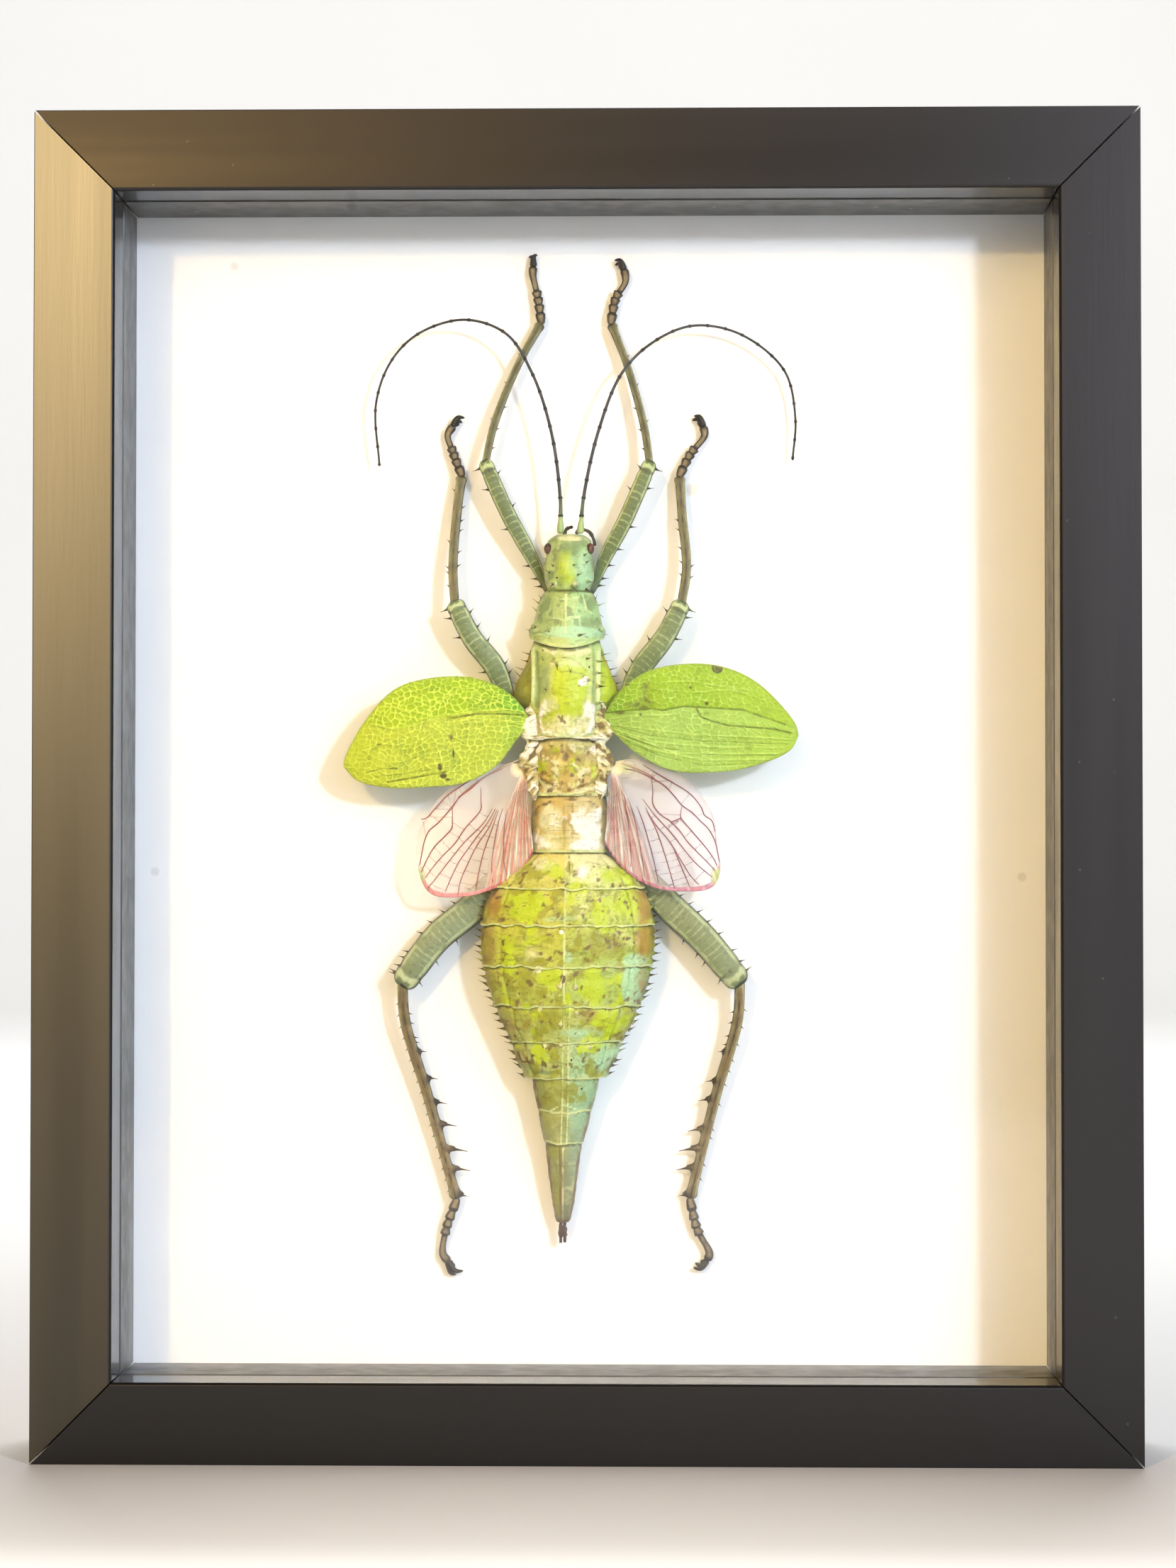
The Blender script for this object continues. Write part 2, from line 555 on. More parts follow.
# Lines of the back: what each is, where, how wide, how strong, and how far it
# stands up or sinks in.
BACK_LINES = [
    ("pale", [(-0.35, 43.1), (-0.35, 34.6)], 0.26, 0.8, 0.05),
    (
        "pale", [(-3.1, 38.1), (-1.6, 37.7), (-0.4, 37.3), (0.7, 38.1), (1.9, 38.0), (2.5, 38.4)], 0.28,
        0.9, 0.08),
    ("pale", [(-3.1, 38.1), (-3.3, 35.3)], 0.22, 0.6, 0.03),
    ("pale", [(2.5, 38.3), (2.6, 36.4)], 0.22, 0.6, 0.03),
    ("pale", [(-3.3, 42.7), (-1.9, 42.1), (-0.2, 41.9), (1.3, 42.3), (2.8, 42.7)], 0.26, 0.6, 0.05),
    ("pale", [(-3.3, 42.7), (-4.0, 39.7), (-5.7, 38.5)], 0.24, 0.5, 0.04),
    ("pale", [(3.2, 43.0), (4.1, 39.7), (6.0, 38.7)], 0.24, 0.7, 0.04),
    ("pale", [(-7.4, 31.6), (-7.3, 25.0), (-7.4, 18.6)], 0.42, 1.0, 0.4),
    ("pale", [(6.6, 31.6), (6.6, 25.0), (6.7, 18.6)], 0.42, 1.0, 0.4),
    ("sage", [(-6.6, 30.6), (-6.5, 19.0)], 0.45, 0.7, -0.22),
    ("sage", [(5.8, 30.6), (5.8, 19.0)], 0.45, 0.7, -0.22),
    (
        "brown", [(-5.2, 29.1), (-3.1, 29.3), (-1.6, 29.5), (0.7, 29.2), (2.4, 28.3), (3.9, 26.8)], 0.2,
        0.45, -0.18),
    ("cream", [(-4.6, 31.2), (0.0, 30.5), (4.6, 31.2)], 0.9, 0.7, 0.0),
    ("white", [(-5.4, 18.7), (-5.8, 16.3), (-5.2, 13.6), (-2.4, 12.6)], 0.36, 1.0, 0.22),
    ("white", [(5.4, 18.9), (5.2, 16.3), (4.6, 13.6), (3.0, 12.8)], 0.36, 1.0, 0.22),
    ("brown", [(-1.9, 16.8), (-1.2, 16.1), (-0.5, 15.5)], 0.25, 1.0, -0.15),
    ("brown", [(2.5, 23.4), (3.2, 23.6), (4.2, 23.8), (4.6, 24.6)], 0.16, 0.9, -0.25),
    ("brown", [(3.3, 25.3), (3.9, 25.5), (3.5, 24.4)], 0.14, 0.8, -0.2),
    ("brown", [(-1.0, 16.9), (-1.3, 15.7)], 0.2, 1.0, -0.1),
    ("brown", [(-7.2, 11.5), (0, 11.7), (7.4, 11.5)], 0.22, 0.7, -0.1),
    ("brown", [(-7.8, 6.2), (-5.0, 3.5), (0.0, 0.9), (4.5, 2.7), (8.1, 7.0)], 0.3, 0.7, 0.3),
    ("cream", [(-7.9, 4.4), (-4.8, 1.9), (-1.6, 0.6)], 0.5, 0.7, 0.05),
    ("cream", [(8.0, 4.6), (5.4, 1.6), (2.0, 0.7)], 0.5, 0.7, 0.05),
    ("cream", [(-1.1, -75.5), (-1.2, -91.2)], 0.24, 0.5, 0.22),
    ("brown", [(-1.75, -75.5), (-1.7, -91.2)], 0.2, 0.7, -0.05),
    ("pale", [(-3.6, -67.3), (-2.0, -66.2), (-0.7, -65.9), (0.8, -66.3), (2.6, -67.5)], 0.18, 0.8, 0.12),
    ("brown", [(-0.2, 10.8), (-0.2, 8.4)], 0.3, 0.35, -0.18),
    (
        "brown",
        [(-7.2, -3.8), (-6.1, -2.3), (-3.4, -1.2), (0.4, -0.8), (4.5, -1.2), (6.4, -2.4), (7.6, -3.8)],
        0.24, 0.95, 0.16),
    ("tan", [(-0.8, -1.9), (-0.8, -11.6)], 0.26, 0.9, -0.1),
    ("tan", [(1.1, -1.9), (1.0, -11.6)], 0.26, 0.7, -0.1),
    ("cream", [(-7.4, -8.7), (0, -8.5), (7.4, -8.9)], 0.3, 0.7, 0.1),
    ("brown", [(0.35, -12.8), (0.4, -16.8)], 0.2, 0.8, -0.1),
    ("brown", [(-4.9, -20.9), (-3.6, -21.2), (-2.6, -21.9), (-3.9, -21.8)], 0.14, 0.9, -0.12),
    ("brown", [(-4.9, -29.8), (-3.4, -29.5), (-2.7, -30.0)], 0.16, 0.9, -0.12),
    ("brown", [(2.8, -29.9), (4.2, -29.4), (5.4, -29.5)], 0.16, 0.9, -0.12),
    ("brown", [(-3.4, -24.1), (-1.8, -23.9)], 0.12, 0.5, -0.06),
    ("brown", [(2.2, -24.0), (4.0, -24.1)], 0.12, 0.5, -0.06),
    ("brown", [(-3.2, -32.8), (-1.9, -32.8)], 0.12, 0.6, -0.06),
    ("brown", [(2.6, -32.8), (4.2, -32.9)], 0.12, 0.5, -0.06),
    ("brown", [(10.0, -29.6), (10.1, -32.4)], 0.16, 0.6, -0.06),
    ("brown", [(-9.9, -56.7), (-7.3, -57.0)], 0.18, 0.9, -0.06),
    ("sage", [(-9.6, -57.4), (-5.4, -58.9), (-2.4, -59.2)], 0.6, 0.9, -0.04)]
# Patches of the back: x, z, half sizes across and along, and strength.
BACK_PATCHES = {
    "lime": [
        (-0.4, 48.6, 2.3, 3.4, 0.7), (-1.1, 24.3, 1.7, 3.2, 1.7), (2.0, 23.6, 2.0, 3.4, 1.7),
        (0.4, 18.8, 1.7, 2.8, 1.5), (-3.2, 15.6, 1.4, 1.6, 0.6), (9.0, 24.4, 1.8, 6.0, 1.3),
        (-2.6, 5.4, 2.8, 2.2, 0.35), (3.0, 6.6, 2.6, 2.0, 0.3), (9.6, -16.6, 2.8, 2.0, 0.9),
        (-9.8, -24.8, 2.4, 1.4, 0.7), (12.9, -23.7, 2.3, 2.8, 1.3), (5.2, -40.4, 3.4, 2.8, 1.0),
        (-3.2, -38.4, 2.2, 1.6, 0.7), (-4.4, -54.8, 2.4, 2.0, 0.4)],
    "sage": [
        (0.8, 53.4, 2.7, 1.8, 0.6), (-4.4, 41.0, 1.1, 1.7, 0.9), (-4.6, 37.2, 1.5, 1.2, 0.7),
        (5.1, 41.2, 0.9, 1.6, 1.0), (4.5, 36.9, 1.8, 1.4, 0.6), (-5.0, 25.0, 1.7, 5.0, 0.55),
        (5.0, 21.0, 1.4, 3.0, 0.5), (7.0, -13.2, 0.7, 0.5, 0.9), (6.8, -29.8, 1.3, 1.1, 0.8),
        (10.2, -32.2, 1.4, 1.5, 0.6), (6.9, -37.9, 1.4, 1.6, 1.2), (-5.6, -63.8, 1.5, 3.0, 0.6)],
    "mint": [
        (3.6, 48.0, 1.8, 3.6, 0.8), (3.0, 34.9, 5.4, 1.1, 0.9), (-4.0, 34.9, 4.6, 1.0, 0.5),
        (-0.6, -26.4, 4.6, 0.8, 0.4), (0.4, -34.4, 0.8, 1.3, 0.8), (14.2, -39.4, 2.3, 4.6, 1.3),
        (14.8, -34.9, 2.4, 0.9, 0.8), (2.0, -50.4, 4.0, 1.0, 0.6), (9.0, -56.0, 3.4, 3.4, 0.6)],
    "cream": [
        (0.6, 55.2, 2.6, 0.6, 0.7), (-3.4, 45.0, 1.3, 0.7, 0.7), (1.6, 45.2, 1.0, 0.7, 0.5),
        (0.0, 14.6, 5.8, 2.2, 0.9), (-3.6, 19.4, 1.5, 1.6, 0.6), (-3.6, -5.0, 2.4, 3.0, 0.9),
        (-3.6, -10.4, 3.4, 1.2, 0.8), (-5.0, -14.6, 2.6, 1.4, 0.5), (4.4, -16.0, 2.6, 2.4, 0.6),
        (2.6, -23.2, 2.6, 2.8, 0.35), (-8.6, -33.6, 3.4, 1.6, 0.4)],
    "pale": [(1.0, 28.0, 3.4, 1.4, 0.5)],
    "white": [
        (-4.6, 18.6, 1.2, 1.8, 0.7), (4.6, 18.2, 1.2, 1.8, 0.6), (3.2, 24.1, 0.75, 0.6, 1.1),
        (3.9, 24.6, 0.5, 0.8, 1.0), (-6.9, 10.1, 1.3, 0.9, 1.0), (6.0, 10.0, 1.2, 0.8, 1.0),
        (8.3, 2.4, 1.2, 1.5, 1.0), (-7.6, 2.0, 1.1, 1.0, 0.8), (4.2, -5.6, 2.6, 3.2, 0.7),
        (4.0, -10.6, 3.4, 1.1, 0.8), (3.6, -16.4, 1.6, 1.6, 0.6), (-1.2, -29.0, 0.36, 0.36, 1.4),
        (-6.1, -36.9, 0.6, 0.6, 1.0)],
    "olive": [
        (-9.4, 24.4, 1.6, 6.0, 1.0), (-8.4, -16.2, 2.6, 1.8, 0.9), (-9.4, -22.8, 3.6, 2.9, 1.2),
        (-4.0, -30.4, 1.6, 1.2, 0.8), (8.0, -31.4, 4.4, 3.0, 0.8), (-9.0, -39.6, 2.4, 3.0, 0.9),
        (-3.4, -47.4, 2.0, 1.7, 1.0), (7.9, -48.6, 1.8, 1.6, 0.9)],
    "brown": [(-0.2, 8.0, 0.9, 0.8, 0.7)],
    "tan": [
        (0.0, 9.2, 5.0, 1.2, 0.6), (0.1, -5.6, 0.8, 3.4, 0.5), (-17.2, -31.8, 1.3, 3.6, 0.6),
        (4.2, -46.6, 2.6, 1.2, 0.7), (-9.4, -47.6, 2.6, 2.4, 0.5)],
    "orange": [
        (-6.6, -4.6, 1.2, 3.0, 0.35), (-15.8, -23.0, 1.7, 3.6, 0.7), (16.4, -23.6, 1.3, 3.8, 0.8),
        (16.4, -31.6, 2.2, 3.6, 0.6), (15.9, -39.0, 0.9, 2.6, 0.5)],
}
# Swellings of the back: x, z, half sizes across and along, and height.
BACK_BUMPS = [
    (-0.6, 48.6, 1.9, 3.6, 0.7), (-3.2, 45.4, 0.8, 0.8, 0.9), (1.5, 44.9, 0.75, 0.75, 0.9),
    (4.2, 46.0, 0.7, 0.7, 0.6), (-3.9, 54.0, 0.9, 1.6, 0.5), (4.3, 54.0, 0.9, 1.6, 0.5),
    (0.3, 53.2, 1.6, 1.4, -0.35), (-2.8, 50.6, 0.8, 2.4, -0.35), (2.4, 50.4, 0.8, 2.2, -0.35),
    (-1.6, 55.8, 0.9, 0.9, 0.7), (2.4, 55.8, 0.9, 0.9, 0.7), (3.9, 48.6, 1.0, 2.2, 0.35),
    (-4.2, 48.4, 0.9, 2.0, 0.35), (-7.3, 35.6, 0.7, 0.8, 0.35), (6.9, 35.5, 0.7, 0.8, 0.35),
    (-4.6, 40.9, 1.2, 1.8, -0.3), (5.0, 41.0, 1.1, 1.6, -0.3), (-4.8, 37.0, 1.6, 1.2, -0.3),
    (4.6, 36.9, 1.8, 1.3, -0.3), (0.4, 21.5, 2.2, 5.0, 0.4), (-4.6, 21.0, 1.2, 3.0, -0.3),
    (4.2, 20.0, 1.0, 3.2, -0.3), (-2.2, 6.2, 2.4, 1.8, 0.3), (2.8, 6.4, 2.4, 1.8, 0.3),
    (0.2, 8.4, 0.8, 1.6, -0.5), (-6.0, 2.6, 1.4, 1.0, -0.4), (6.2, 2.6, 1.4, 1.0, -0.4),
    (-5.6, 9.2, 1.2, 1.0, 0.4), (5.4, 9.2, 1.2, 1.0, 0.4)]
# Torn and crumpled skin: its colour, from and to along the back, how wide, how
# fine, how strong, and how rare.
TORN_ZONES = [
    ("white", 12.0, 18.0, 6.2, 0.5, 1.8, 0.1), ("lime", 12.4, 20.0, 5.6, 0.42, 4.0, 0.0),
    ("tan", 12.0, 18.0, 6.8, 0.8, 2.5, 0.2), ("cream", 0.2, 12.4, 8.4, 0.4, 1.6, 0.08),
    ("lime", 1.5, 11.5, 6.4, 0.36, 2.0, 0.08), ("brown", 0.0, 12.4, 8.4, 0.7, 2.0, 0.22),
    ("tan", 0.0, 12.4, 8.4, 0.44, 2.2, 0.05), ("white", -12.0, -0.8, 7.6, 0.34, 1.6, 0.05),
    ("tan", -12.0, -0.5, 7.6, 0.5, 2.0, 0.2), ("lime", -58.0, -13.0, 14.0, 0.2, 2.6, 0.05),
    ("olive", -66.0, -13.0, 17.0, 0.34, 3.0, 0.1), ("brown", -60.0, -13.0, 16.0, 0.7, 2.2, 0.3),
    ("olive", 14.0, 31.0, 3.4, 0.3, 2.6, 0.0), ("sage", 33.0, 56.5, 9.0, 0.5, 2.4, 0.1),
    ("cream", 24.0, 33.0, 6.6, 0.3, 1.0, 0.05)]
MARK_KINDS = (
    "leaf", "pale", "sage", "brown", "cream", "white", "tan", "lime", "mint", "olive", "orange", "rim",
    "crease", "tip")
# The belly side of an abdomen plate, from its edge to its middle: how wide, how deep.
BELLY_STEPS = [0, 0.2, 0.4, 0.6, 0.8, 1]
BELLY_WIDTHS = [1, 0.8, 0.74, 0.62, 0.36, 0]
BELLY_DEPTHS = [0, 0.12, 0.4, 0.7, 0.93, 1]


def trunk_place(turn, run):
    """The trunk's points and marks at shares round from the belly and along from the head."""
    row = stations[np.rint(run * (len(stations) - 1)).astype(int)]
    z, half, top, edge, base, share, order = row.T
    kinds = np.array(PLATE_KINDS)[order.astype(int)]
    on_abdomen = (kinds == "abdomen") & (order > 4)
    overhung = on_abdomen & (order < 11)
    plain = (kinds != "beak") * (kinds != "head")
    middle = np.interp(z, MIDDLE_PLACES, MIDDLES)

    belly_share = (1 - BACK_SHARE) / 2
    angle = np.interp(turn, [0, belly_share, 1 - belly_share, 1], [-0.5, 0, 1, 1.5]) * math.pi
    lift = np.sin(angle)
    on_back = lift >= -1e-9
    deep = np.arcsin(np.clip(-lift, 0, 1)) / (math.pi / 2)
    under_width = np.where(overhung, np.interp(deep, BELLY_STEPS, BELLY_WIDTHS), np.cos(deep * math.pi / 2))
    under_depth = np.where(overhung, np.interp(deep, BELLY_STEPS, BELLY_DEPTHS), np.sin(deep * math.pi / 2))
    side = np.sign(np.cos(angle))

    # The rear rim stands up and out, and the front of a plate is tucked in.
    slight = np.where(order > 10, 0.35, 1.0)
    tuck = 0.34 * slight * (1 - eased(share, 0.0, 0.12)) * (order > 0)
    flare = slight * (0.2 * eased(share, 0.84, 0.95) - 0.1 * eased(share, 0.985, 1.0))
    camber = np.where(on_abdomen, 0.24, 0.1) * np.sin(math.pi * share) * plain
    lobe = np.where(overhung, 0.45 * np.sin(math.pi * share) + 0.35 * eased(share, 0.8, 0.96), 0.0)
    swell = flare * (kinds != "beak") - tuck + camber
    half = half + swell * 0.7 + lobe
    top = top + swell
    across = np.where(on_back, half * np.cos(angle), side * half * under_width)
    rise = np.where(on_back, (top - edge) * np.clip(lift, 0, 1), -(edge - base) * under_depth)

    x = middle + across
    height = edge + rise
    u = np.where(on_back, np.cos(angle), side)
    bow = np.where(kinds == "prothorax", COLLAR_BOW * share, 0)
    bow = bow + np.where(kinds == "mesothorax", COLLAR_BOW * (1 - share), 0)
    bow = bow + np.where(on_abdomen, 0.35 * np.sin(math.pi * share * 0.5), 0)
    z = z - bow * np.clip(lift, 0, 1) ** 2
    wander = rough_noise(np.stack([x, z * 0.3, 0 * z], -1), 0.33, 3)
    z = z + 0.5 * wander * on_abdomen * eased(-z, 14, 22) * on_back

    marks = {kind: np.zeros(len(x)) for kind in MARK_KINDS}
    relief = np.zeros(len(x))
    back = on_back & (lift > 0.05)
    for kind, points, width, strength, height_up in BACK_LINES:
        near = peak(distance_to(x, z, points), width) * back
        marks[kind] += strength * near
        relief += height_up * near
    for kind, patches in BACK_PATCHES.items():
        for px, pz, rx, rz, strength in patches:
            out = ((x - px) / rx) ** 2 + ((z - pz) / rz) ** 2
            marks[kind] += strength * np.exp(-out**1.5 * 0.7) * back
    # On the mesothorax: a side flap each side of its ridged middle, orange at its edge.
    flap = (kinds == "mesothorax") * eased(np.abs(x + 0.4), 7.2, 7.7) * eased(z, 15, 18) * on_back
    relief -= 0.7 * flap * (1 - eased(np.abs(x + 0.4), 7.6, 9.4))
    marks["olive"] += flap * np.where(x < 0, 2.2, 0.1)
    marks["sage"] += 0.7 * flap * (x < 0)
    marks["lime"] += 2.4 * flap * (x > 0)
    marks["orange"] += 1.1 * flap * eased(np.abs(u), 0.968, 0.992)
    for px, pz, rx, rz, up in BACK_BUMPS:
        relief += up * np.exp(-(((x - px) / rx) ** 2 + ((z - pz) / rz) ** 2)) * on_back
    # On the abdomen: a margin fold each side, and a pair of lines down the middle.
    fold = peak((np.abs(u) - 0.78) * half, 0.34) * overhung * back
    relief -= 0.3 * fold
    marks["crease"] += 0.3 * fold
    marks["pale"] += 0.25 * peak((np.abs(u) - 0.74) * half, 0.3) * overhung * back
    paired = peak(np.abs(x - middle - 0.1) - 0.6, 0.2) * on_abdomen * back
    relief += 0.1 * paired - 0.08 * peak(x - middle - 0.1, 0.3) * on_abdomen * back
    marks["pale"] += 0.55 * paired
    marks["tan"] += 0.3 * eased(np.abs(u), 0.76, 0.84) * overhung * (order > 5) * on_back
    leaf = eased(-z, 12, 20) * (1 - 0.55 * eased(x, 2, 9) * eased(-z, 44, 54))
    marks["leaf"] += np.where(overhung, leaf, 0.18)
    marks["rim"] += eased(share, 0.93, 0.97) * plain * (lift > -0.3)
    marks["crease"] += (1 - eased(share, 0.0, 0.07)) * (order > 0)
    marks["brown"] += 0.42 * eased(np.abs(u), 0.88, 1.0) * on_back * (kinds != "mesothorax")
    on_tail = z < -60.5
    marks["brown"] += (0.5 + 0.35 * (kinds == "beak")) * (on_tail * eased(np.abs(u), 0.7, 0.98) * on_back)
    marks["olive"] += 0.45 * on_tail * (x < middle) * back
    marks["brown"] += 1.2 * eased(-z, 90.2, 91.4)
    # The collar at the back of the prothorax is a raised roll.
    relief += 0.3 * np.where(kinds == "prothorax", eased(share, 0.74, 0.8), 0) * (lift > -0.2)
    # A shallow furrow runs down the head.
    relief -= 0.25 * peak(x - 0.3, 0.8) * (kinds == "head") * eased(share, 0.1, 0.3) * back
    points = np.stack([x, z, height], -1)
    dents = rough_noise(points, 0.42, 3)
    fine = rough_noise(points + 31.0, 1.5, 2)
    for kind, low, high, reach, size, gain, off in TORN_ZONES:
        zone = eased(z, low, low + 1.2) * (1 - eased(z, high - 2.5, high))
        zone = zone * (1 - eased(np.abs(x + 0.3), reach - 1, reach + 0.4)) * on_back
        patch = rough_noise(points + 17.0 * len(kind) + off * 50, size, 4) - off
        marks[kind] += np.clip(gain * patch, 0, 1.3) * zone
        relief += 0.4 * np.clip(patch, 0, 0.5) * zone * (kind in ("white", "cream"))
    relief += np.where(kinds == "metathorax", 0.42, 0.2) * dents + 0.05 * fine
    # Torn, crumpled skin at the back of the mesothorax and on the metathorax.
    torn = np.clip(marks["white"] + 0.6 * marks["cream"] * (z > -1) * (z < 18), 0, 1)
    relief += 0.35 * torn * fine

    out_x = np.where(on_back, np.cos(angle), side * 0.7)
    out_up = np.where(on_back, np.clip(lift, 0, 1), -0.7)
    ends = np.clip((np.abs(run - 0.5) - 0.5) / 0.004 + 1, 0, 1)
    close = np.sqrt(np.clip(1 - ends**2, 0, 1))
    x = middle + (across + relief * out_x) * close
    height = edge + (rise + relief * out_up) * close
    return spots_at(x, z, height), marks


trunk = wrapped("trunk", AROUND_TRUNK, len(stations) - 1, trunk_place)


def mark(tree, label):
    return add_node(tree, "Attribute", attribute_name=label).outputs["Fac"]


def chitin_group():
    """Dried shell: a cloudy mottle, a finer one with hard edges, and the height of its pores and wrinkles."""
    inputs = {"Vector": None, "Scale": 400.0}
    group, start, end = new_group("dried_shell", inputs, ["Mottle", "Blotches", "Pores"])
    vector, scale = start["Vector"], start["Scale"]
    mottle = cloud(group, vector, scale, 4.0, 0.6, 0.6)
    blotches = ranged(group, cloud(group, vector, times(group, scale, 2.6), 3.0, 0.6, 1.2), 0.5, 0.66)
    dots = add_node(group, "TexVoronoi", {"Vector": vector, "Scale": times(group, scale, 5.0)})
    pits = ranged(group, dots.outputs["Distance"], 0.0, 0.45)
    wrinkles = cloud(group, vector, times(group, scale, 3.5), 4.0, 0.65, 1.0)
    height = math_node(group, "ADD", times(group, pits, 0.4), wrinkles)
    for label, value in (("Mottle", mottle), ("Blotches", blotches), ("Pores", height)):
        plug(group, value, end[label])
    return group


SHELL = chitin_group()


def shell(tree, spots, scale):
    return place_group(tree, SHELL, vector=spots, scale=scale)


def painted(tree, colour, ragged, high, paints):
    """Colours laid over one another where their marks are strong: (label, colour, how much at most)."""
    for label, paint, most in paints:
        share = ranged(tree, times(tree, mark(tree, label), ragged), 0.1, high, 0.0, most)
        colour = mixed(tree, share, colour, paint)
    return colour


# Colours along the back from the beak to the head, on the left and right halves.
BACK_START, BACK_END = 0.0435, 0.1958
TONE_START, TONE_END = -95.8, 56.5
TONE_PLACES = [-94, -89, -76, -66, -56, -48, -40, -32, -24, -16, -11, -1, 6, 13, 18, 28, 36, 45, 52]
LEFT_TONES = [
    (66, 62, 54), (104, 108, 84), (128, 136, 92), (140, 148, 84), (158, 170, 102), (150, 158, 70),
    (162, 172, 68), (164, 168, 58), (172, 170, 48), (184, 182, 96), (196, 182, 110), (180, 156, 88),
    (172, 152, 80), (176, 170, 110), (182, 190, 96), (174, 188, 102), (158, 180, 118), (156, 176, 104),
    (150, 168, 112)]
RIGHT_TONES = [
    (70, 64, 60), (108, 116, 98), (132, 152, 124), (140, 176, 140), (154, 186, 144), (158, 168, 92),
    (150, 176, 90), (152, 166, 66), (170, 184, 72), (192, 200, 140), (206, 200, 160), (186, 168, 112),
    (178, 162, 92), (180, 180, 128), (184, 196, 108), (172, 194, 116), (156, 192, 136), (146, 184, 126),
    (142, 176, 128)]
ROUGH_PAINTS = (
    ("sage", (104, 126, 84), 0.75), ("olive", (132, 134, 26), 0.85), ("lime", (166, 186, 14), 0.85),
    ("mint", (160, 200, 164), 0.85))
FINE_PAINTS = (
    ("cream", (214, 214, 172), 0.85), ("pale", (196, 216, 164), 0.75), ("brown", (96, 70, 40), 0.85),
    ("white", (236, 234, 226), 1.0), ("rim", (196, 208, 150), 0.75), ("crease", (70, 74, 32), 0.8),
    ("tip", (52, 28, 20), 1.0))


def shell_ramp(tree, level, tones):
    places = [(z - TONE_START) / (TONE_END - TONE_START) for z in TONE_PLACES]
    return ramp(tree, level, list(zip(places, tones)))


def trunk_shell():
    material, tree, shader, spots = new_finish("body_shell", specular_ior_level=0.42)
    xyz = add_node(tree, "SeparateXYZ", {"Vector": spots}).outputs
    ends = {"Value": xyz["Z"], "From Min": BACK_START, "From Max": BACK_END}
    level = add_node(tree, "MapRange", ends).outputs["Result"]
    fine = shell(tree, spots, 300.0)
    coarse = shell(tree, spots, 130.0)
    side = ranged(tree, xyz["X"], WAIST.x - 0.0008, WAIST.x + 0.0014)
    colour = mixed(tree, side, shell_ramp(tree, level, LEFT_TONES), shell_ramp(tree, level, RIGHT_TONES))
    leafy = times(tree, coarse["Blotches"], ranged(tree, mark(tree, "leaf"), 0.0, 1.0, 0.2, 0.8))
    colour = mixed(tree, leafy, colour, (118, 126, 34))
    dapples = ranged(tree, cloud(tree, spots, 210.0, 5.0, 0.68, 0.8), 0.53, 0.66, 0.0, 0.6)
    colour = mixed(tree, times(tree, dapples, mark(tree, "leaf")), colour, (96, 104, 30))
    colour = mixed(tree, ranged(tree, fine["Mottle"], 0.5, 0.75, 0.0, 0.5), colour, (206, 206, 150))
    ragged = ranged(tree, coarse["Mottle"], 0.25, 0.75, 0.35, 1.65)
    fine_ragged = ranged(tree, fine["Mottle"], 0.25, 0.75, 0.3, 1.7)
    colour = painted(tree, colour, ragged, 0.75, ROUGH_PAINTS)
    colour = painted(tree, colour, fine_ragged, 0.75, [("tan", (146, 126, 68), 0.75)])
    colour = painted(tree, colour, ragged, 0.75, [("orange", (152, 112, 50), 0.75)])
    colour = painted(tree, colour, fine_ragged, 0.75, FINE_PAINTS)
    dashed = stretched(tree, spots, (0.45, 1.0, 2.2))
    dashes = ranged(tree, cloud(tree, dashed, 420.0, 3.0, 0.65, 1.2), 0.58, 0.68, 0.0, 0.5)
    colour = mixed(tree, dashes, colour, (98, 96, 44))
    colour = mixed(tree, ranged(tree, fine["Pores"], 0.45, 0.9, 0.25, 0.0), colour, (90, 96, 50))
    gloss = ranged(tree, fine["Mottle"], 0.3, 0.7, 0.34, 0.5)
    crumpled = math_node(tree, "MAXIMUM", mark(tree, "white"), mark(tree, "cream"))
    crumpled = ranged(tree, crumpled, 0.1, 0.6, 0.0, 3.0)
    torn = times(tree, crumpled, cloud(tree, spots, 900.0, 5.0, 0.7, 2.0))
    leathery = times(tree, mark(tree, "leaf"), cloud(tree, spots, 330.0, 4.0, 0.6, 1.4))
    rough = math_node(tree, "ADD", fine["Pores"], times(tree, leathery, 3.0))
    finish(tree, shader, colour, gloss, math_node(tree, "ADD", rough, torn), 0.4, 0.0002)
    return material


def thorn_blank():
    """One thorn, a unit high: a cone with rings cut in it. Its bend says how far a hook draws each point."""
    bpy.ops.object.select_all(action="DESELECT")
    bpy.ops.mesh.primitive_cone_add(vertices=8, radius1=1, radius2=0.06, depth=1.2, location=(0, 0, 0.4))
    made = bpy.context.object
    bpy.ops.object.transform_apply(location=True)
    bpy.ops.object.mode_set(mode="EDIT")
    for level in (0.0, 0.25, 0.5, 0.75):
        bpy.ops.mesh.select_all(action="SELECT")
        bpy.ops.mesh.bisect(plane_co=(0, 0, level), plane_no=(0, 0, 1))
    bpy.ops.object.mode_set(mode="OBJECT")
    levels = [max(0.0, vertex.co.z) for vertex in made.data.vertices]
    for vertex, level in zip(made.data.vertices, levels):
        slim = (1 - level) ** 0.5 * (1 - 0.35 * math.sin(math.pi * level)) if level < 1 else 1.0
        vertex.co.x *= slim
        vertex.co.y *= slim
    tips = [min(1.0, 0.3 + level) for level in levels]
    write_marks(made, {"tip": tips, "bend": [level**2 for level in levels]})
    bpy.ops.object.shade_smooth()
    shape = made.data.copy()
    bpy.data.objects.remove(made)
    return shape


THORN = thorn_blank()


